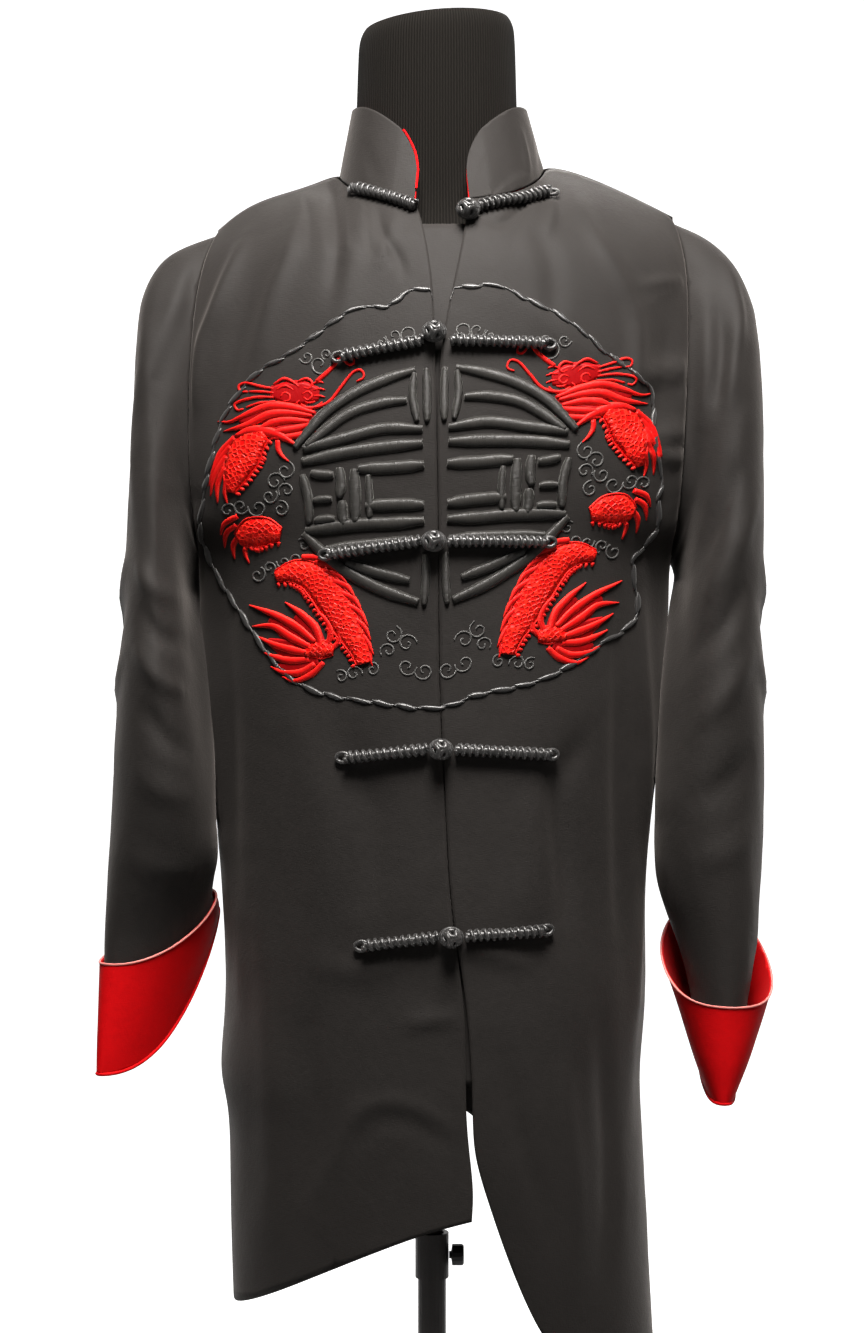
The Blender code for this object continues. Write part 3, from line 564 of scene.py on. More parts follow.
def sweep(shape, line, radius, sides=8, closed=False, up=(0.0, -1.0, 0.0)):
    """A round tube along a line, into a mesh that is being made, with metres as its map."""
    line = np.array(line, float)
    count = len(line)
    layer = shape.loops.layers.uv.get("weave") or shape.loops.layers.uv.new("weave")
    ahead = np.roll(line, -1, 0) - np.roll(line, 1, 0) if closed else np.gradient(line, axis=0)
    ahead = unit(ahead)
    side = np.array(up, float)
    radii = np.broadcast_to(radius, (count,))
    rings, lengths = [], [0.0]
    for k in range(count):
        side = side - ahead[k] * (side @ ahead[k])
        side /= np.linalg.norm(side) + 1e-12
        across = np.cross(ahead[k], side)
        ring = []
        for j in range(sides):
            turn = math.tau * j / sides
            out = math.cos(turn) * side + math.sin(turn) * across
            ring.append(shape.verts.new(line[k] + radii[k] * out))
        rings.append(ring)
        if k:
            lengths.append(lengths[-1] + float(np.linalg.norm(line[k] - line[k - 1])))
    spans = count if closed else count - 1
    for k in range(spans):
        low, high = rings[k], rings[(k + 1) % count]
        for j in range(sides):
            face = shape.faces.new((low[j], low[(j + 1) % sides], high[(j + 1) % sides], high[j]))
            face.smooth = True
            ends = (lengths[k], lengths[k] + 0.001)
            if k + 1 < count:
                ends = (lengths[k], lengths[k + 1])
            girth = math.tau * float(radii[k])
            spots = ((ends[0], j), (ends[0], j + 1), (ends[1], j + 1), (ends[1], j))
            for loop, (along, place) in zip(face.loops, spots):
                loop[layer].uv = (along, girth * place / sides)
    if not closed:
        shape.faces.new(rings[0][::-1])
        shape.faces.new(rings[-1])


def finish_mesh(name, shape, material):
    """Makes a piece from a mesh in the making: its faces turned out, its finish and its body."""
    bmesh.ops.recalc_face_normals(shape, faces=shape.faces[:])
    mesh = bpy.data.meshes.new(name)
    shape.to_mesh(mesh)
    shape.free()
    made = linked(name, mesh)
    mesh.materials.append(material)
    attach(made, "form")
    return made


FOLD_INSET = 0.012                    # how far the fold's roll lies inside the edge, as a share
Cuff = namedtuple("Cuff", "axis width length area")
CUFFS = {"cuff_right": Cuff((-0.202, -0.018), 0.262, 0.100, 0.0175),
         "cuff_left": Cuff((0.2085, -0.027), 0.280, 0.112, 0.0200)}
for node, cuff in CUFFS.items():
    band = shell(node + "_cloth", node, cuff.axis)
    crease(band, [], (), 0.0005)
    weave_map(band, cuff.axis, 0.045, math.copysign(math.pi / 2, -cuff.axis[0]))
    rim, fold = edge_loops(band)
    thicken(band, 0.0013, red_cloth)
    piping = bmesh.new()
    sweep(piping, rim, 0.0008, closed=True)
    piping = finish_mesh(node + "_piping", piping, piping_red)
    roll = bmesh.new()
    from_axis = (fold - [*cuff.axis, 0]) * [1, 1, 0]
    sweep(roll, fold - from_axis * FOLD_INSET, 0.0014, closed=True)
    roll = finish_mesh(node + "_fold", roll, red_cloth)
    sleeve = node.replace("cuff", "sleeve") + "_cloth"
    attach(band, "form")
    stands_for(node)


# ---------------------------------------------------------------- stand collar and underlap
# A low stand collar with rounded fronts, black outside and red inside, sewn to the neckline.
# Behind the front opening a straight strip of the black cloth is sewn to one front.
COLLAR_FOLDS = folds(
    "front",
    (1.5, 4, (61, 1408), (66, 1385), (68, 1366)),
    (-0.7, 5, (69, 1412), (74, 1390), (76, 1370)),
    (1.3, 4, (77, 1406), (82, 1388), (86, 1372)),
    (-0.6, 5, (-48, 1400), (-44, 1384), (-38, 1368)))
UNDERLAP_FOLDS = folds("front", (0.8, 6, (10, 1300), (12, 1270), (10, 1230)))
COLLAR_AXIS = (0.0055, 0.0)
collar = shell("collar_cloth", "collar", COLLAR_AXIS, wall=0.0012)
crease(collar, COLLAR_FOLDS, (), 0.0003)
weave_map(collar, COLLAR_AXIS, 0.07, 0.0)
collar_edges = edge_loops(collar)
thicken(collar, 0.0011, black_cloth)
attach(collar, "form")
stands_for("collar")
lining = shell("collar_lining_cloth", "collar_lining", COLLAR_AXIS, wall=0.0010)
crease(lining, [], (), 0.0003)
weave_map(lining, COLLAR_AXIS, 0.07, 0.0)
thicken(lining, 0.0009, red_cloth)
# The lining rolls out past the collar's edge at its right front end.
front_end = [place for place in collar_edges[0]
             if -0.0215 < place[0] < -0.0015 and place[1] < -0.05 and place[2] > 1.3725]
front_end.sort(key=lambda place: place[2])
roll = bmesh.new()
sweep(roll, np.array(front_end) + [0.0006, -0.0002, 0], 0.0009)
roll = finish_mesh("collar_lining_roll", roll, red_cloth)
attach(lining, "form")
stands_for("collar_lining")
underlap = shell("underlap_cloth", "underlap", (0.004, 0.1))
crease(underlap, UNDERLAP_FOLDS, (), 0.0004)
weave_map(underlap, BODY_AXIS, 0.13, math.pi)
thicken(underlap, 0.0013, black_cloth)
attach(underlap, "form")
stands_for("underlap")


# ---------------------------------------------------------------- frog closures
# Five pairs: two arms of black satin cord, each wrapped round a core and sewn flat with a small
# eye at its end, and between them a ball knot tied from the same cord, held by the other's loop.
satin = Finish("black_satin", {"Sheen Weight": 0.15, "Specular IOR Level": 0.75,
                               "Coat Weight": 0.25, "Coat Roughness": 0.3})
stitches = satin.noise(satin.place((2600, 260, 1), 0.0, "weave"), 1.0, 2.0)
tone = satin.noise(satin.place(), 70.0, 2.0)
satin.surface(stitches * 0.6 + tone * 0.4, (0.003, 0.003, 0.003, 1), (0.030, 0.028, 0.027, 1),
              stitches, (0.24, 0.2), 0.0005, 0.6)
black_satin = satin.material

Frog = namedtuple("Frog", "knot right left loop")
FROGS = [
    Frog((0.0230, 1.3560), (-0.0540, 1.3750), (0.0850, 1.3725), (-0.0110, 1.3560)),
    Frog((0.0035, 1.2568), (-0.0625, 1.2465), (0.0790, 1.2555), (0.0035, 1.2568)),
    Frog((0.0015, 1.1175), (-0.0715, 1.1090), (0.0790, 1.1175), (0.0015, 1.1175)),
    Frog((0.0065, 0.9726), (-0.0595, 0.9665), (0.0810, 0.9685), (0.0065, 0.9726)),
    Frog((0.0140, 0.8415), (-0.0465, 0.8340), (0.0775, 0.8445), (0.0140, 0.8415)),
]
CORD = 0.0028                         # radius of the wrapped core
WRAP = 0.0014                         # radius of the thread wound round it
WRAP_PITCH = 0.0046
WRAP_STEPS = 12                       # points to a turn
EYE_LENGTH, EYE_WIDTH = 0.0046, 0.0033    # half sizes of the small eye at an arm's end
KNOT_CORD, KNOT_LOBE = 0.0021, 0.0052     # radii of the ball knot's cord and of its loops
KNOT_LEANS = ((0.0, 0.0), (1.05, 0.3), (1.05, 2.4), (1.05, 4.5), (0.55, 1.4))
KNOT_HEIGHT = 0.0085                  # from the cloth to its middle
KNOT_CLEAR = 0.0093                   # from its middle to an arm's inner end


def straight_down(x, z):
    """The cloth straight behind a point of the front, and which way it faces."""
    hits = [tree.ray_cast(Vector((x, -1.0, z)), Vector((0, 1, 0))) for tree in front_trees]
    hits = [hit for hit in hits if hit[0] is not None]
    if not hits:
        hits = [tree.find_nearest(Vector((x, -0.1, z))) for tree in front_trees]
        hits.sort(key=lambda hit: hit[3])
    place, facing = hits[0][0], hits[0][1]
    return place, (-facing if facing.y > 0 else facing)


def arm_line(start, end, height, count=40):
    """A line over the cloth from one point of the front to another, at a height above it."""
    places, facings = [], []
    for k in range(count + 1):
        f = k / count
        place, facing = straight_down(start[0] + (end[0] - start[0]) * f,
                                      start[1] + (end[1] - start[1]) * f)
        places.append(place)
        facings.append(facing)
    facing = np.array([list(v) for v in facings])
    soft = np.array([facing[max(0, k - 5):k + 6].mean(0) for k in range(count + 1)])
    soft = unit(soft)
    return np.array([list(v) for v in places]) + soft * height, soft


def wrapped_arm(shape, start, end):
    """A core with thread wound round it, and the small eye at its outer end."""
    line, facing = arm_line(start, end, CORD + WRAP)
    sweep(shape, line, CORD, sides=10, up=facing[0])
    length = float(np.linalg.norm(np.diff(line, axis=0), axis=1).sum())
    steps = int(length / WRAP_PITCH) * WRAP_STEPS
    at = np.linspace(0, len(line) - 1, steps + 1)
    low = np.minimum(at.astype(int), len(line) - 2)
    ahead = line[low + 1] - line[low]
    centre = line[low] + ahead * (at - low)[:, None]
    ahead = unit(ahead)
    out = facing[low] - ahead * (facing[low] * ahead).sum(axis=1, keepdims=True)
    out = unit(out)
    count = np.arange(steps + 1)[:, None]
    turn = math.tau * count / WRAP_STEPS
    reach = CORD + 0.0005 + 0.0002 * np.sin(count * 0.061)
    around = np.cos(turn) * out + np.sin(turn) * np.cross(ahead, out)
    sweep(shape, centre + reach * around, WRAP, sides=6)
    tip, back = Vector(line[-1]), Vector(line[-4])
    ahead = (tip - back).normalized()
    out = Vector(facing[-1])
    across = ahead.cross(out).normalized()
    ring = [tip + ahead * (0.0026 + EYE_LENGTH * math.cos(a)) + across * EYE_WIDTH * math.sin(a)
            - out * 0.0016 for a in np.linspace(0, math.tau, 21)[:-1]]
    sweep(shape, [list(v) for v in ring], WRAP, closed=True, up=list(out))


def ball_knot(shape, centre):
    """A round knot of interlaced loops, with the other arm's loop round its neck."""
    for lean, turn in KNOT_LEANS:
        spin = Matrix.Rotation(turn, 3, "Y") @ Matrix.Rotation(lean, 3, "X")
        ring = [list(centre + spin @ Vector((KNOT_LOBE * math.cos(a), 0.0016 * math.sin(3 * a),
                                             KNOT_LOBE * math.sin(a))))
                for a in np.linspace(0, math.tau, 29)[:-1]]
        sweep(shape, ring, KNOT_CORD, closed=True, up=(0.1, -1.0, 0.2))
    loop = [list(centre + Vector((-0.0074 * math.cos(a), 0.0045, 0.0062 * math.sin(a))))
            for a in np.linspace(0, math.tau, 33)[:-1]]
    sweep(shape, loop, WRAP, closed=True)


for number, frog in enumerate(FROGS, start=1):
    back = KNOT_CLEAR if frog.loop == frog.knot else 0    # the first frog is unbuttoned
    for part, start, end in (
            ("loop", (frog.loop[0] - back, frog.loop[1]), frog.right),
            ("stem", (frog.knot[0] + KNOT_CLEAR, frog.knot[1]), frog.left)):
        shape = bmesh.new()
        wrapped_arm(shape, start, end)
        made = finish_mesh(f"frog_{number}_{part}_cord", shape, black_satin)
        stands_for(f"frog_{number}_{part}")
    place, facing = straight_down(*frog.knot)
    shape = bmesh.new()
    ball_knot(shape, place + facing * KNOT_HEIGHT)
    made = finish_mesh(f"frog_{number}_knot_cord", shape, black_satin)
    stands_for(f"frog_{number}_knot")


# ---------------------------------------------------------------- the embroidered roundel
# Machine needlework over the fronts: a ring of twisted leaves, a medallion of padded satin bars
# and frets, a red scaly beast on each side and cloud scrolls. One half is drawn, in millimetres
# out from the opening and up from the middle; the other is its mirror and rises a little.
ROUNDEL = (0.0025, 1.149)             # the opening at the roundel's middle
LEFT_RISE = 0.13                      # how much the left half climbs on its way out
EDGE = (-1.0, -0.62, 0.0, 0.62, 1.0)  # a stitched shape's section: across, and how full
FULL = (0.0, 0.82, 1.0, 0.82, 0.0)


def needle(x, z):
    """The cloth behind a point of the roundel, in metres, and which way it faces."""
    start, ahead = seen_from("front", x, z)
    hits = [tree.ray_cast(start, ahead) for tree in front_trees]
    hits = sorted((hit for hit in hits if hit[0] is not None), key=lambda hit: hit[3])
    if not hits:
        hits = [tree.find_nearest(start + ahead * 1.75) for tree in front_trees]
        hits.sort(key=lambda hit: hit[3])
    place, facing = hits[0][0], hits[0][1]
    return np.array(place), np.array(-facing if facing.y > 0 else facing)


def stitched(shape, line, widths, rise, side, step=1.7):
    """A padded satin shape along a line of the tables. widths are even along it, in mm."""
    for name in ("weave", "across"):
        shape.loops.layers.uv.get(name) or shape.loops.layers.uv.new(name)
    weave, across_map = shape.loops.layers.uv["weave"], shape.loops.layers.uv["across"]
    flat = smooth_line(line, step)
    count = len(flat)
    wide = np.interp(np.linspace(0, 1, count), np.linspace(0, 1, len(widths)), widths)
    ahead = unit(np.gradient(flat, axis=0))
    across = np.stack([-ahead[:, 1], ahead[:, 0]], axis=1)
    grid = []
    for k in range(count):
        row = []
        for c in EDGE:
            spot = flat[k] + across[k] * c * wide[k] / 2
            x = side * spot[0]
            z = spot[1] + (LEFT_RISE * spot[0] if side > 0 else 0.0)
            row.append(needle(ROUNDEL[0] + x / 1000, ROUNDEL[1] + z / 1000))
        grid.append(row)
    facing = np.array([np.mean([spot[1] for spot in row], axis=0) for row in grid])
    facing = unit(np.array([facing[max(0, k - 3):k + 4].mean(0) for k in range(count)]))
    rows = []
    for k, row in enumerate(grid):
        swell = min(1.0, wide[k] / (rise * 1.4 + 0.3))
        rows.append([shape.verts.new(spot[0] + facing[k] * (rise * swell * full + 0.12) / 1000)
                     for spot, full in zip(row, FULL)])
    length = 0.0
    for k in range(count - 1):
        span = float(np.linalg.norm(flat[k + 1] - flat[k])) / 1000
        for j in range(5):
            i = (j + 1) % 5
            face = shape.faces.new((rows[k][j], rows[k][i], rows[k + 1][i], rows[k + 1][j]))
            face.smooth = j < 4
            for loop, (where, c) in zip(face.loops, ((0, j), (0, i), (1, i), (1, j))):
                loop[weave].uv = (length + span * where, EDGE[c] * wide[k + where] / 2000)
                loop[across_map].uv = (EDGE[c], (k + where) / count)
        length += span
    shape.faces.new(rows[0])
    shape.faces.new(rows[-1][::-1])


# The ring of leaves: an uneven oval of soft lobes, with a twisted leaf laid every 17 mm or so.
RING_LINE = [(2, 145), (20, 143), (26, 137), (36, 132), (53, 132), (68, 124), (88, 109),
             (106, 97), (122, 88), (137, 72), (149, 52), (158, 20), (163, -8), (164, -26),
             (154, -52), (137, -80), (117, -110), (97, -130), (74, -139), (42, -144),
             (10, -148), (-10, -146), (-28, -139), (-52, -134), (-74, -128), (-94, -118),
             (-119, -101), (-131, -94), (-141, -81), (-139, -62), (-138, -44), (-148, -33),
             (-156, -18), (-155, -4), (-158, 12), (-154, 32), (-152, 54), (-150, 74),
             (-136, 88), (-119, 100), (-106, 112), (-93, 122), (-80, 130), (-62, 138),
             (-44, 147), (-22, 146), (-8, 145)]
LEAF = 17.0
ring = bmesh.new()
stitched(ring, RING_LINE, (1.3, 1.3), 0.7, -1)
rope = smooth_line(RING_LINE, 1.0)
for number in range(int(len(rope) / LEAF)):
    first = int(number * LEAF)
    size = int(LEAF * (1.06 + 0.12 * math.sin(number * 2.3)))
    line = rope[first:first + size:3].copy()
    ahead = line[-1] - line[0]
    ahead /= np.linalg.norm(ahead)
    lean = np.linspace(-1.1, 1.1, len(line))[:, None] * np.array([-ahead[1], ahead[0]])
    stout = 3.6 + 0.6 * math.sin(number * 1.7)
    stitched(ring, line + lean, (0.8, stout, stout, 0.9), 1.4, -1)
ring = finish_mesh("roundel_ring", ring, black_satin)

padded_satin = Finish("padded_satin", {"Sheen Weight": 0.14, "Sheen Roughness": 0.35,
                                       "Sheen Tint": (0.85, 0.85, 0.8, 1),
                                       "Specular IOR Level": 0.35})
fine = padded_satin.noise(padded_satin.place((2300, 120, 1), 0.0, "weave"), 1.0, 2.0)
broad = padded_satin.noise(padded_satin.place(), 60.0, 2.0)
padded_satin.surface(fine * 0.6 + broad * 0.4, (0.005, 0.0046, 0.0042, 1),
                     (0.040, 0.0375, 0.034, 1), fine, (0.30, 0.22), 0.0007, 0.7)

Bar = namedtuple("Bar", "line width")
BARS = [
    Bar([(98, 34), (79, 56), (58, 71), (33, 82), (14, 88)], 8.4),
    Bar([(90, 35), (73, 49), (57, 59), (37, 65), (20, 67)], 8.2),
    Bar([(92, 33), (65, 40), (37, 47), (9, 47)], 8.8),
    Bar([(93, 24), (65, 30), (37, 34), (9, 37)], 9.4),
    Bar([(54, 19), (30, 20), (8, 22)], 9.4),
    Bar([(49, -7), (28, -6), (8, -6)], 9.6),
    Bar([(90, -24), (54, -20), (30, -19), (8, -17)], 9.6),
    Bar([(76, -37), (48, -34), (26, -32), (9, -31)], 8.4),
    Bar([(92, -26), (76, -42), (60, -54), (36, -66), (12, -74)], 8.8),
    Bar([(62, -46), (42, -53), (18, -59)], 8.0),
    Bar([(15, 86), (16, 70), (13, 52)], 6.0),
    Bar([(6.5, 89), (6, 72), (6, 52)], 6.4),
    Bar([(7, -40), (7, -58), (8, -76)], 6.2),
    Bar([(93, 15), (89, -2), (88, -19)], 7.0),
    Bar([(87, 16), (79, 15), (71, 15)], 7.0),
    Bar([(85, -3), (78, -2), (72, -2)], 5.6),
    Bar([(84, -17), (76, -16), (70, -16)], 6.6),
    Bar([(67, 20), (66, 8), (67, -1)], 7.6),
    Bar([(65, -3), (65, -12), (64, -20)], 7.6),
    Bar([(57, 19), (56, 0), (56, -18)], 8.6),
    Bar([(47, 15), (46, 0), (46, -15)], 5.8),
]
medallion = bmesh.new()
for side in (-1, 1):
    for bar in BARS:
        widths = bar.width * np.array([0.62, 1, 1, 1, 1, 0.62])
        stitched(medallion, bar.line, widths, 2.3, side)
medallion = finish_mesh("roundel_medallion", medallion, padded_satin.material)

THREAD = {"Sheen Weight": 0.05, "Sheen Roughness": 0.3, "Sheen Tint": (1.0, 0.2, 0.16, 1),
          "Specular IOR Level": 0.14}


def red_satin(name, middle, edge, highlight_start):
    """Satin stitch with a painted highlight, paler along both edges, with its threads lying
    across.
    """
    made = Finish(name, THREAD)
    strands = made.noise(made.place((2400, 200, 1), 0.0, "weave"), 1.0, 2.0)
    hue = made.noise(made.place(), 95.0, 2.0)
    across = made.node("ShaderNodeSeparateXYZ", None,
                       {"Vector": made.node("ShaderNodeUVMap", {"uv_map": "across"})})
    # rim paints a highlight: the colour turns paler towards both edges of each stitched shape.
    rim = made.node("ShaderNodeMapRange", None, {"Value": made.maths("ABSOLUTE", across),
                                                 "From Min": highlight_start, "From Max": 0.95})
    made.surface(rim * 0.8 + strands * 0.35 + hue * 0.2 - 0.2, middle, edge,
                 strands, (0.36, 0.2), 0.0005, 0.7)
    return made.material


# Both red satins carry the painted highlight along their edges.
red_thread = red_satin("red_thread", (0.50, 0.0015, 0.002, 1), (0.88, 0.040, 0.026, 1), 0.45)
red_ground = red_satin("red_ground", (0.24, 0.0008, 0.002, 1), (0.40, 0.002, 0.003, 1), 0.7)
red_scales = Finish("red_scales", THREAD)
cells = red_scales.node("ShaderNodeTexVoronoi", {"feature": "DISTANCE_TO_EDGE"},
                        {"Vector": red_scales.place((1, 1, 1), math.radians(45), "weave"),
                         "Scale": 330.0, "Randomness": 0.55})
edging = red_scales.node("ShaderNodeMapRange", None, {"Value": cells, "From Min": 0.03,
                                                      "From Max": 0.20})
grain = red_scales.noise(red_scales.place((1500, 900, 1), 0.0, "weave"), 1.0, 2.0)
red_scales.feed("Base Color", red_scales.mix(edging * 0.8 + grain * 0.3, (0.90, 0.022, 0.010, 1),
                                             (0.55, 0.0015, 0.002, 1)))
red_scales.feed("Roughness", 0.36 + grain * 0.2)
red_scales.bump(1 - edging, 0.0008, 0.8)

Lock = namedtuple("Lock", "line widths rise step", defaults=(1.7,))


def locks(widths, rise, *lines):
    return [Lock(line, widths, rise) for line in lines]


LOCKS = [
    # whisker with its curl, the horn over the brow and its small curl
    *locks((2.0, 2.6, 2.2, 1.4), 1.2,
           [(95, 62), (84, 62), (74, 66), (66, 76), (58, 86), (52, 88), (50, 83), (55, 80)]),
    *locks((3.0, 3.4, 2.8, 1.8), 1.2, [(83, 80), (76, 86), (71, 91), (66, 98)]),
    *locks((1.6, 2.0, 1.0), 0.9, [(65, 97), (61, 92), (57, 93), (58, 98)]),
    # brows, eye, cheek, nose with its nostril, lips and jaw
    *locks((1.4, 2.2, 2.0, 1.0), 1.2, [(113, 78), (106, 82), (100, 80), (95, 76)]),
    *locks((1.2, 1.9, 1.0), 1.1, [(111, 74), (105, 77), (99, 74)]),
    *locks((1.2, 1.6, 1.2), 1.1, [(108, 69), (106, 72), (102, 71), (102, 67), (106, 66)]),
    *locks((1.2, 2.0, 1.8, 1.0), 1.1, [(112, 66), (106, 62), (99, 63), (95, 67)]),
    *locks((1.4, 2.2, 1.8, 1.0), 1.2, [(96, 80), (90, 82), (86, 79), (88, 75), (92, 76)]),
    *locks((1.2, 1.8, 1.2), 1.1, [(93, 71), (89, 73), (86, 70), (89, 67), (92, 69)]),
    *locks((1.2, 1.8, 0.8), 1, [(86, 78), (82, 80), (78, 79)], [(85, 74), (81, 75), (77, 74)],
           [(85, 70), (81, 70), (77, 69)]),
    *locks((1.4, 2.4, 2.0, 1.0), 1.1, [(94, 64), (88, 61), (82, 63), (79, 66)]),
    *locks((1.0, 1.5, 0.8), 1, [(91, 66), (88, 65), (84, 66)]),
    # horns and ears, swept back in narrow loops
    *locks((1.4, 1.9, 2.0, 1.8, 1.2), 1.1,
           [(113, 75), (124, 77), (132, 79), (137, 77), (136, 73), (131, 73)]),
    *locks((1.4, 1.8, 1.2), 1, [(113, 72), (123, 73), (130, 73)]),
    *locks((1.4, 1.9, 2.0, 1.8, 1.2), 1.1,
           [(113, 69), (124, 69), (134, 67), (140, 64), (138, 60), (134, 61)]),
    *locks((1.4, 1.8, 1.2), 1, [(112, 66), (123, 65), (132, 62)]),
    # the mane
    *locks((2.6, 5.6, 6.0, 5.0, 2.6, 0.8), 1.6,
           [(84, 58), (100, 62), (116, 63), (132, 57), (143, 52), (152, 52)]),
    *locks((2.6, 5.6, 6.0, 4.4, 0.8), 1.6,
           [(86, 56), (102, 58), (116, 57), (131, 50), (148, 45)]),
    *locks((2.6, 5.4, 5.6, 0.8), 1.5, [(88, 52), (102, 53), (114, 51), (127, 45)]),
    *locks((2.4, 5.0, 5.0, 0.8), 1.5, [(82, 52), (94, 48), (106, 46), (118, 44)]),
    *locks((2.2, 4.6, 4.4, 0.8), 1.4, [(84, 47), (94, 43), (106, 41), (116, 40)]),
    # foreleg and claw
    *locks((3.0, 6.5, 8.0, 6.0, 2.0), 1.7,
           [(139, 42), (129, 46), (117, 45), (106, 41), (98, 36)]),
    *locks((4.0, 3.8, 2.6, 0.8), 1.3, [(110, 39), (110, 33), (107, 28), (102, 24)]),
    # fins behind the neck
    *locks((4.0, 4.6, 0.8), 1.3, [(140, 41), (150, 30), (157, 14)],
           [(143, 35), (153, 22), (158, 7)]),
    *locks((4.0, 4.4, 0.8), 1.3, [(146, 28), (154, 14), (157, 0)]),
    *locks((3.8, 4.2, 0.8), 1.2, [(147, 20), (152, 8), (152, -5)]),
    *locks((3.2, 3.4, 0.8), 1.1, [(146, 12), (147, 3), (145, -6)]),
    # fins of the middle piece
    *locks((3.6, 4.2, 0.8), 1.2, [(138, -14), (147, -19), (150, -27)],
           [(139, -20), (146, -26), (147, -36)], [(136, -26), (141, -34), (140, -44)]),
    *locks((3.2, 3.6, 0.8), 1.1, [(130, -30), (133, -38), (130, -47)]),
    # the long spine fins of the lower body
    *locks((4.6, 4.6, 0.8), 1.3, [(93, -43), (83, -43), (76, -47)]),
    *locks((4.6, 4.8, 0.8), 1.3, [(84, -46), (74, -48), (67, -54)],
           [(78, -52), (68, -55), (61, -62)], [(72, -59), (62, -63), (56, -71)],
           [(67, -67), (57, -72), (51, -81)]),
    *locks((4.6, 4.6, 0.8), 1.3, [(62, -76), (53, -81), (47, -91)]),
    *locks((4.4, 4.4, 0.8), 1.3, [(58, -85), (50, -91), (45, -101)]),
    *locks((4.2, 4.2, 0.8), 1.3, [(55, -94), (48, -101), (43, -111)]),
    *locks((3.8, 3.8, 0.8), 1.2, [(54, -102), (47, -110), (44, -119)]),
    # tail fan
    *locks((4.0, 6.2, 5.2, 0.8), 1.5, [(80, -104), (84, -92), (94, -82), (105, -74)]),
    *locks((4.4, 6.6, 4.8, 0.8), 1.5, [(84, -102), (96, -92), (112, -83), (130, -76)]),
    *locks((4.4, 6.6, 5.0, 0.8), 1.5, [(86, -106), (100, -99), (113, -91), (128, -91)]),
    *locks((4.4, 6.4, 4.8, 0.8), 1.5, [(88, -110), (102, -107), (114, -103), (124, -98)]),
    *locks((4.2, 6.0, 4.6, 0.8), 1.4, [(88, -114), (100, -115), (110, -113), (120, -109)]),
    *locks((4.0, 5.6, 4.2, 0.8), 1.4, [(84, -117), (94, -123), (106, -123), (115, -119)]),
    *locks((3.6, 5.0, 3.6, 0.8), 1.3, [(78, -116), (86, -124), (98, -129), (107, -126)]),
    *locks((3.8, 5.4, 4.0, 0.8), 1.4, [(76, -105), (73, -96), (76, -87), (84, -79)]),
    *locks((3.2, 4.2, 0.8), 1.3, [(73, -108), (67, -100), (68, -91)]),
]
# Flat satin laid under the head, the mane and the tail, where the locks leave gaps.
GROUND = [
    Lock([(115, 73), (105, 72), (93, 72), (81, 71)], (8, 17, 18, 9), 0.45),
    Lock([(84, 55), (102, 58), (122, 57), (137, 52)], (8, 15, 14, 3), 0.5),
    Lock([(84, 48), (100, 46), (116, 44)], (8, 13, 7), 0.5),
    Lock([(80, -104), (88, -93), (98, -84)], (8, 15, 4), 0.5),
    Lock([(84, -106), (100, -96), (116, -86)], (10, 17, 4), 0.5),
    Lock([(86, -111), (102, -107), (117, -101)], (10, 16, 4), 0.5),
    Lock([(82, -114), (96, -119), (110, -119)], (8, 13, 4), 0.5),
    Lock([(93, -49), (77, -53), (64, -68), (55, -86), (48, -106)], (4, 9, 10, 9, 4), 0.45),
]
# Scaly pieces of the body. The beads of the belly run along one edge: 1 or -1 says which.
Scaly = namedtuple("Scaly", "line widths rise belly")
SCALY = [
    Scaly([(119, 43), (130, 35), (136, 24), (140, 13), (143, 3)], (9, 23, 24, 18, 7), 1.9, -1),
    Scaly([(108, -27), (118, -25), (129, -26), (137, -31)], (9, 20, 22, 11), 1.9, -1),
    Scaly([(111, -56), (98, -53), (84, -58), (72, -73), (62, -90), (53, -106), (50, -117)],
          (8, 18, 23, 24, 22, 17, 11), 2.1, 1),
    Scaly([(71, -108), (78, -107), (86, -108), (90, -111)], (6, 13, 12, 5), 2.2, 0),
]
BEAD, BEAD_EVERY = 3.2, 4.2           # size and spacing of the belly's beads, in mm


def belly(part):
    """A corded edge along both sides of a scaly piece, and a row of beads along its belly."""
    spine = smooth_line(part.line, BEAD_EVERY)
    half = np.interp(np.linspace(0, 1, len(spine)), np.linspace(0, 1, len(part.widths)),
                     part.widths)[:, None] / 2
    ahead = unit(np.gradient(spine, axis=0))
    out = np.stack([-ahead[:, 1], ahead[:, 0]], axis=1)
    found = [Lock(spine + out * half * edge, (1.3, 1.5, 1.3), 1.3) for edge in (1, -1)]
    if part.belly:
        for place, away, reach in zip(spine, out * part.belly, half):
            bead = place + away * (half.max() * 0.1 + BEAD * 0.35 + reach)
            found.append(Lock([bead - away * BEAD / 2, bead, bead + away * BEAD / 2],
                              (BEAD * 0.7, BEAD * 0.8, BEAD * 0.3), 1.5, 0.8))
    return found


BODY = [Lock(part.line, part.widths, part.rise) for part in SCALY]
BELLIES = [lock for part in SCALY for lock in belly(part)]
for side, name in ((-1, "right"), (1, "left")):
    for kind, parts, material in (("scales", BODY, red_scales.material),
                                  ("ground", GROUND, red_ground),
                                  ("thread", LOCKS + BELLIES, red_thread)):
        shape = bmesh.new()
        for lock in parts:
            stitched(shape, lock.line, lock.widths, lock.rise, side, lock.step)
        finish_mesh(f"beast_{name}_{kind}", shape, material)

grey_thread = Finish("grey_thread", {"Sheen Weight": 0.3, "Specular IOR Level": 0.6})
twist = grey_thread.noise(grey_thread.place((2600, 300, 1), 0.0, "weave"), 1.0, 2.0)
grey_thread.surface(twist, (0.010, 0.0095, 0.009, 1), (0.060, 0.057, 0.052, 1),
                    twist, (0.4, 0.2), 0.0004, 0.6)
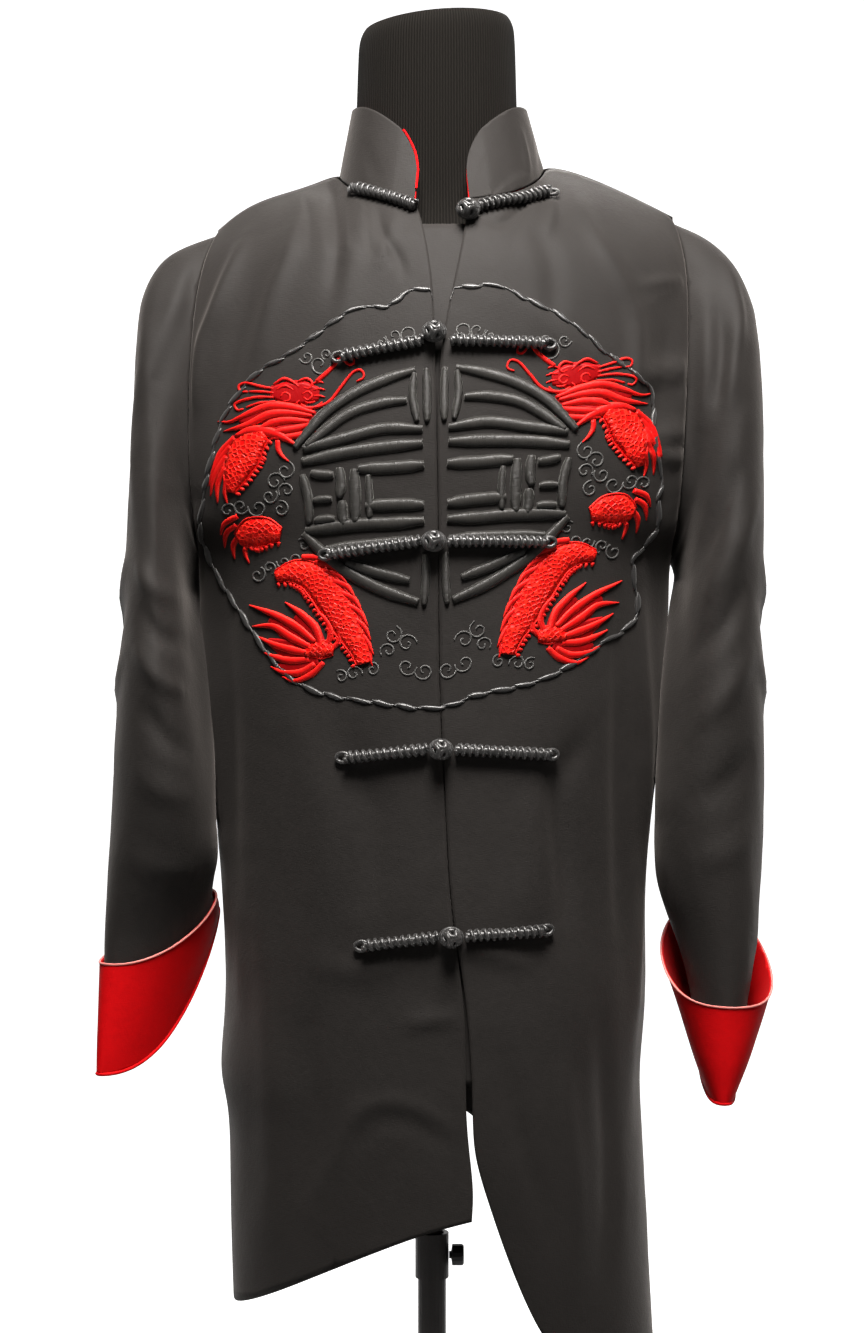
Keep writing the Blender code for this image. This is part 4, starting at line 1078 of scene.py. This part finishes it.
# Each cloud scroll: its middle, its size, where it starts in degrees, and which way it winds.
SCROLLS = [
    (18, 113, 8, 200, 1), (29, 112, 6, 20, -1), (38, 107, 4, 90, 1),
    (81, 92, 8, 150, 1), (90, 97, 5, 10, -1), (76, 99, 4, 260, 1),
    (105, 18, 7, 90, 1), (112, 10, 7, 200, -1), (104, 4, 6, 300, 1),
    (116, 0, 6, 120, 1), (124, -8, 7, 30, -1), (136, -7, 6, 180, 1),
    (145, -10, 6, 240, -1), (108, -9, 6, 60, 1),
    (97, -44, 6, 160, 1), (106, -46, 5, 30, -1), (124, -55, 6, 90, 1),
    (116, -50, 5, 270, -1), (92, -34, 5, 20, 1),
    (30, -97, 7, 90, 1), (20, -103, 7, 200, -1), (33, -108, 6, 300, 1),
    (20, -119, 7, 160, 1), (8, -122, 7, 20, -1), (44, -121, 5, 60, 1),
    (57, -124, 6, 210, -1), (66, -126, 5, 30, 1),
]
for side, name in ((-1, "right"), (1, "left")):
    clouds = bmesh.new()
    for x, z, size, start, way in SCROLLS:
        line = []
        for f in np.linspace(0, 1, 15):
            turn = math.radians(start) + way * (0.4 + 7.4 * f)
            reach = size * (1.0 - 0.80 * f)
            line.append((x + reach * math.cos(turn), z + reach * math.sin(turn)))
        stitched(clouds, line, (0.9, 1.2, 1.2, 1.0), 0.6, side, step=1.3)
    clouds = finish_mesh(f"clouds_{name}", clouds, grey_thread.material)


# ---------------------------------------------------------------- dress form
# A limbless form of moulded foam under one tube of fine ribbed black jersey, drawn up over the
# neck block and gathered in at its top and under its base.
jersey = Finish("black_jersey", {"Sheen Weight": 0.02, "Sheen Roughness": 0.5,
                                 "Sheen Tint": (0.6, 0.57, 0.53, 1), "Specular IOR Level": 0.05})
ribs = jersey.node("ShaderNodeTexWave", {"wave_type": "BANDS", "bands_direction": "X"},
                   {"Vector": jersey.place((1, 1, 1), 0.0, "weave"), "Scale": 135.0,
                    "Distortion": 1.2, "Detail": 2.0, "Detail Scale": 3.0})
knit = jersey.noise(jersey.place((900, 1400, 1), 0.0, "weave"), 1.0, 2.0)
jersey.feed("Base Color", jersey.mix(ribs * 0.55 + knit * 0.45, (0.0016, 0.0014, 0.0012, 1),
                                     (0.0125, 0.0110, 0.0094, 1)))
jersey.feed("Roughness", 0.72 + knit * 0.15)
jersey.bump(ribs * 0.7 + knit * 0.3, 0.0009, 0.7)

shape = bmesh.new()
shape.from_mesh(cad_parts["dress_form"].data)
bmesh.ops.remove_doubles(shape, verts=shape.verts[:], dist=1e-5)
bmesh.ops.join_triangles(shape, faces=shape.faces[:], angle_face_threshold=0.9,
                         angle_shape_threshold=1.5)
firm = shape.edges.layers.float.new("crease_edge")
for edge in shape.edges:
    if edge.calc_face_angle(0.0) > 0.6:
        edge[firm] = 0.75
form = finish_mesh("dress_form_jersey", shape, jersey.material)
apply(form, "SUBSURF", levels=2, render_levels=2)
weave_map(form, (0.0035, 0.0), 0.06, 0.0)
form.data.shade_smooth()
stands_for("dress_form")


# ---------------------------------------------------------------- stand
# A steel tube on a round steel base, a thinner pole that slides in it, and a clamp ring with a
# plastic knob. The metal is powder-coated in satin black, a little worn where the pole slides.
coat = Finish("powder_coat", {"Specular IOR Level": 0.5})
pebble = coat.noise(coat.place(), 900.0, 2.0)
wear = coat.noise(coat.place((1, 1, 0.15)), 60.0, 3.0)
coat.feed("Base Color", coat.mix(wear * 0.7 + pebble * 0.3, (0.024, 0.023, 0.025, 1),
                                 (0.085, 0.078, 0.076, 1)))
coat.feed("Roughness", 0.36 + wear * 0.2)
coat.feed("Metallic", 0.35 + wear * 0.3)
coat.bump(pebble, 0.0002, 0.5)
moulded = Finish("moulded_plastic", {"Specular IOR Level": 0.45})
spark = moulded.noise(moulded.place(), 700.0, 2.0)
moulded.surface(spark, (0.010, 0.010, 0.011, 1), (0.022, 0.022, 0.024, 1),
                spark, (0.42, 0.15), 0.0002, 0.4)
for node, finish in (("base", coat), ("outer_tube", coat), ("clamp_ring", coat),
                     ("pole", coat), ("pole_socket", moulded), ("clamp_knob", moulded)):
    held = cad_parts[node]
    held.data.materials.clear()
    held.data.materials.append(finish.material)


# ---------------------------------------------------------------- floor, light and camera
# A plain pale floor that curves up behind into a lit white wall, one broad lamp over the
# shoulders, two faint ones low in front and one high behind.
bpy.ops.mesh.primitive_plane_add(size=12.0, location=(0, -4.4, 0))
floor = bpy.context.object
floor.name = "studio_floor"
plain = Finish("studio_floor", {"Roughness": 0.9, "Specular IOR Level": 0.1})
dust = plain.noise(plain.place(), 3.0, 3.0)
plain.feed("Base Color", plain.mix(dust, (0.78, 0.78, 0.775, 1), (0.84, 0.84, 0.835, 1)))
floor.data.materials.append(plain.material)
COVE = [(1.6, 0.0), (3.6, 0.0), (4.3, 0.12), (4.9, 0.5), (5.2, 1.1), (5.3, 1.9), (5.3, 5.5)]
bpy.ops.mesh.primitive_plane_add(size=1.0, location=(0, 0, 0))
wall = bpy.context.object
wall.name = "studio_wall"
shape = bmesh.new()
rows = [[shape.verts.new((x, y, z)) for x in (-7.0, 7.0)] for y, z in smooth_line(COVE, 0.3)]
for low, high in zip(rows, rows[1:]):
    shape.faces.new((low[0], low[1], high[1], high[0])).smooth = True
shape.to_mesh(wall.data)
shape.free()
lit = Finish("studio_wall", {"Roughness": 0.9, "Emission Strength": 1.0})
haze = lit.noise(lit.place(), 3.0)
lit.feed("Base Color", lit.mix(haze, (0.86, 0.86, 0.855, 1), (0.90, 0.90, 0.895, 1)))
lit.feed("Emission Color", lit.mix(haze, (0.97, 0.97, 0.97, 1), (1.0, 1.0, 1.0, 1)))
wall.data.materials.append(lit.material)

world = bpy.data.worlds.new("studio")
bpy.context.scene.world = world
world.use_nodes = True
sky = world.node_tree.nodes["Background"].inputs
sky["Color"].default_value = (1.0, 0.99, 0.98, 1)
sky["Strength"].default_value = 0.035
Lamp = namedtuple("Lamp", "name place aim size power spread")
LAMPS = [
    Lamp("overhead", (0.06, -0.85, 2.55), (0.02, -0.10, 1.42), 0.7, 12.5, 52),
    Lamp("low_right", (-2.0, -2.4, 1.3), (-0.1, 0, 0.9), 1.0, 1.2, 180),
    Lamp("low_left", (2.2, -2.0, 1.2), (0.1, 0, 0.9), 0.9, 1.9, 180),
    Lamp("behind", (0.3, 2.3, 3.1), (0, 0.1, 1.1), 1.0, 16.0, 90),
]
for lamp in LAMPS:
    light = bpy.data.lights.new(lamp.name, "AREA")
    light.size, light.energy, light.spread = lamp.size, lamp.power, math.radians(lamp.spread)
    light.color = (1.0, 0.965, 0.93)
    holder = linked(lamp.name, light)
    holder.location = lamp.place
    aim = Vector(lamp.aim) - Vector(lamp.place)
    holder.rotation_mode = "QUATERNION"
    holder.rotation_quaternion = aim.to_track_quat("-Z", "Y")

lens = bpy.data.cameras.new("camera")
lens.sensor_width = 36.0
lens.lens = 67.5
camera = linked("camera", lens)
camera.location = EYE
camera.rotation_euler = (math.radians(90), 0, 0)
bpy.context.scene.camera = camera
bpy.context.scene.view_settings.view_transform = "Standard"
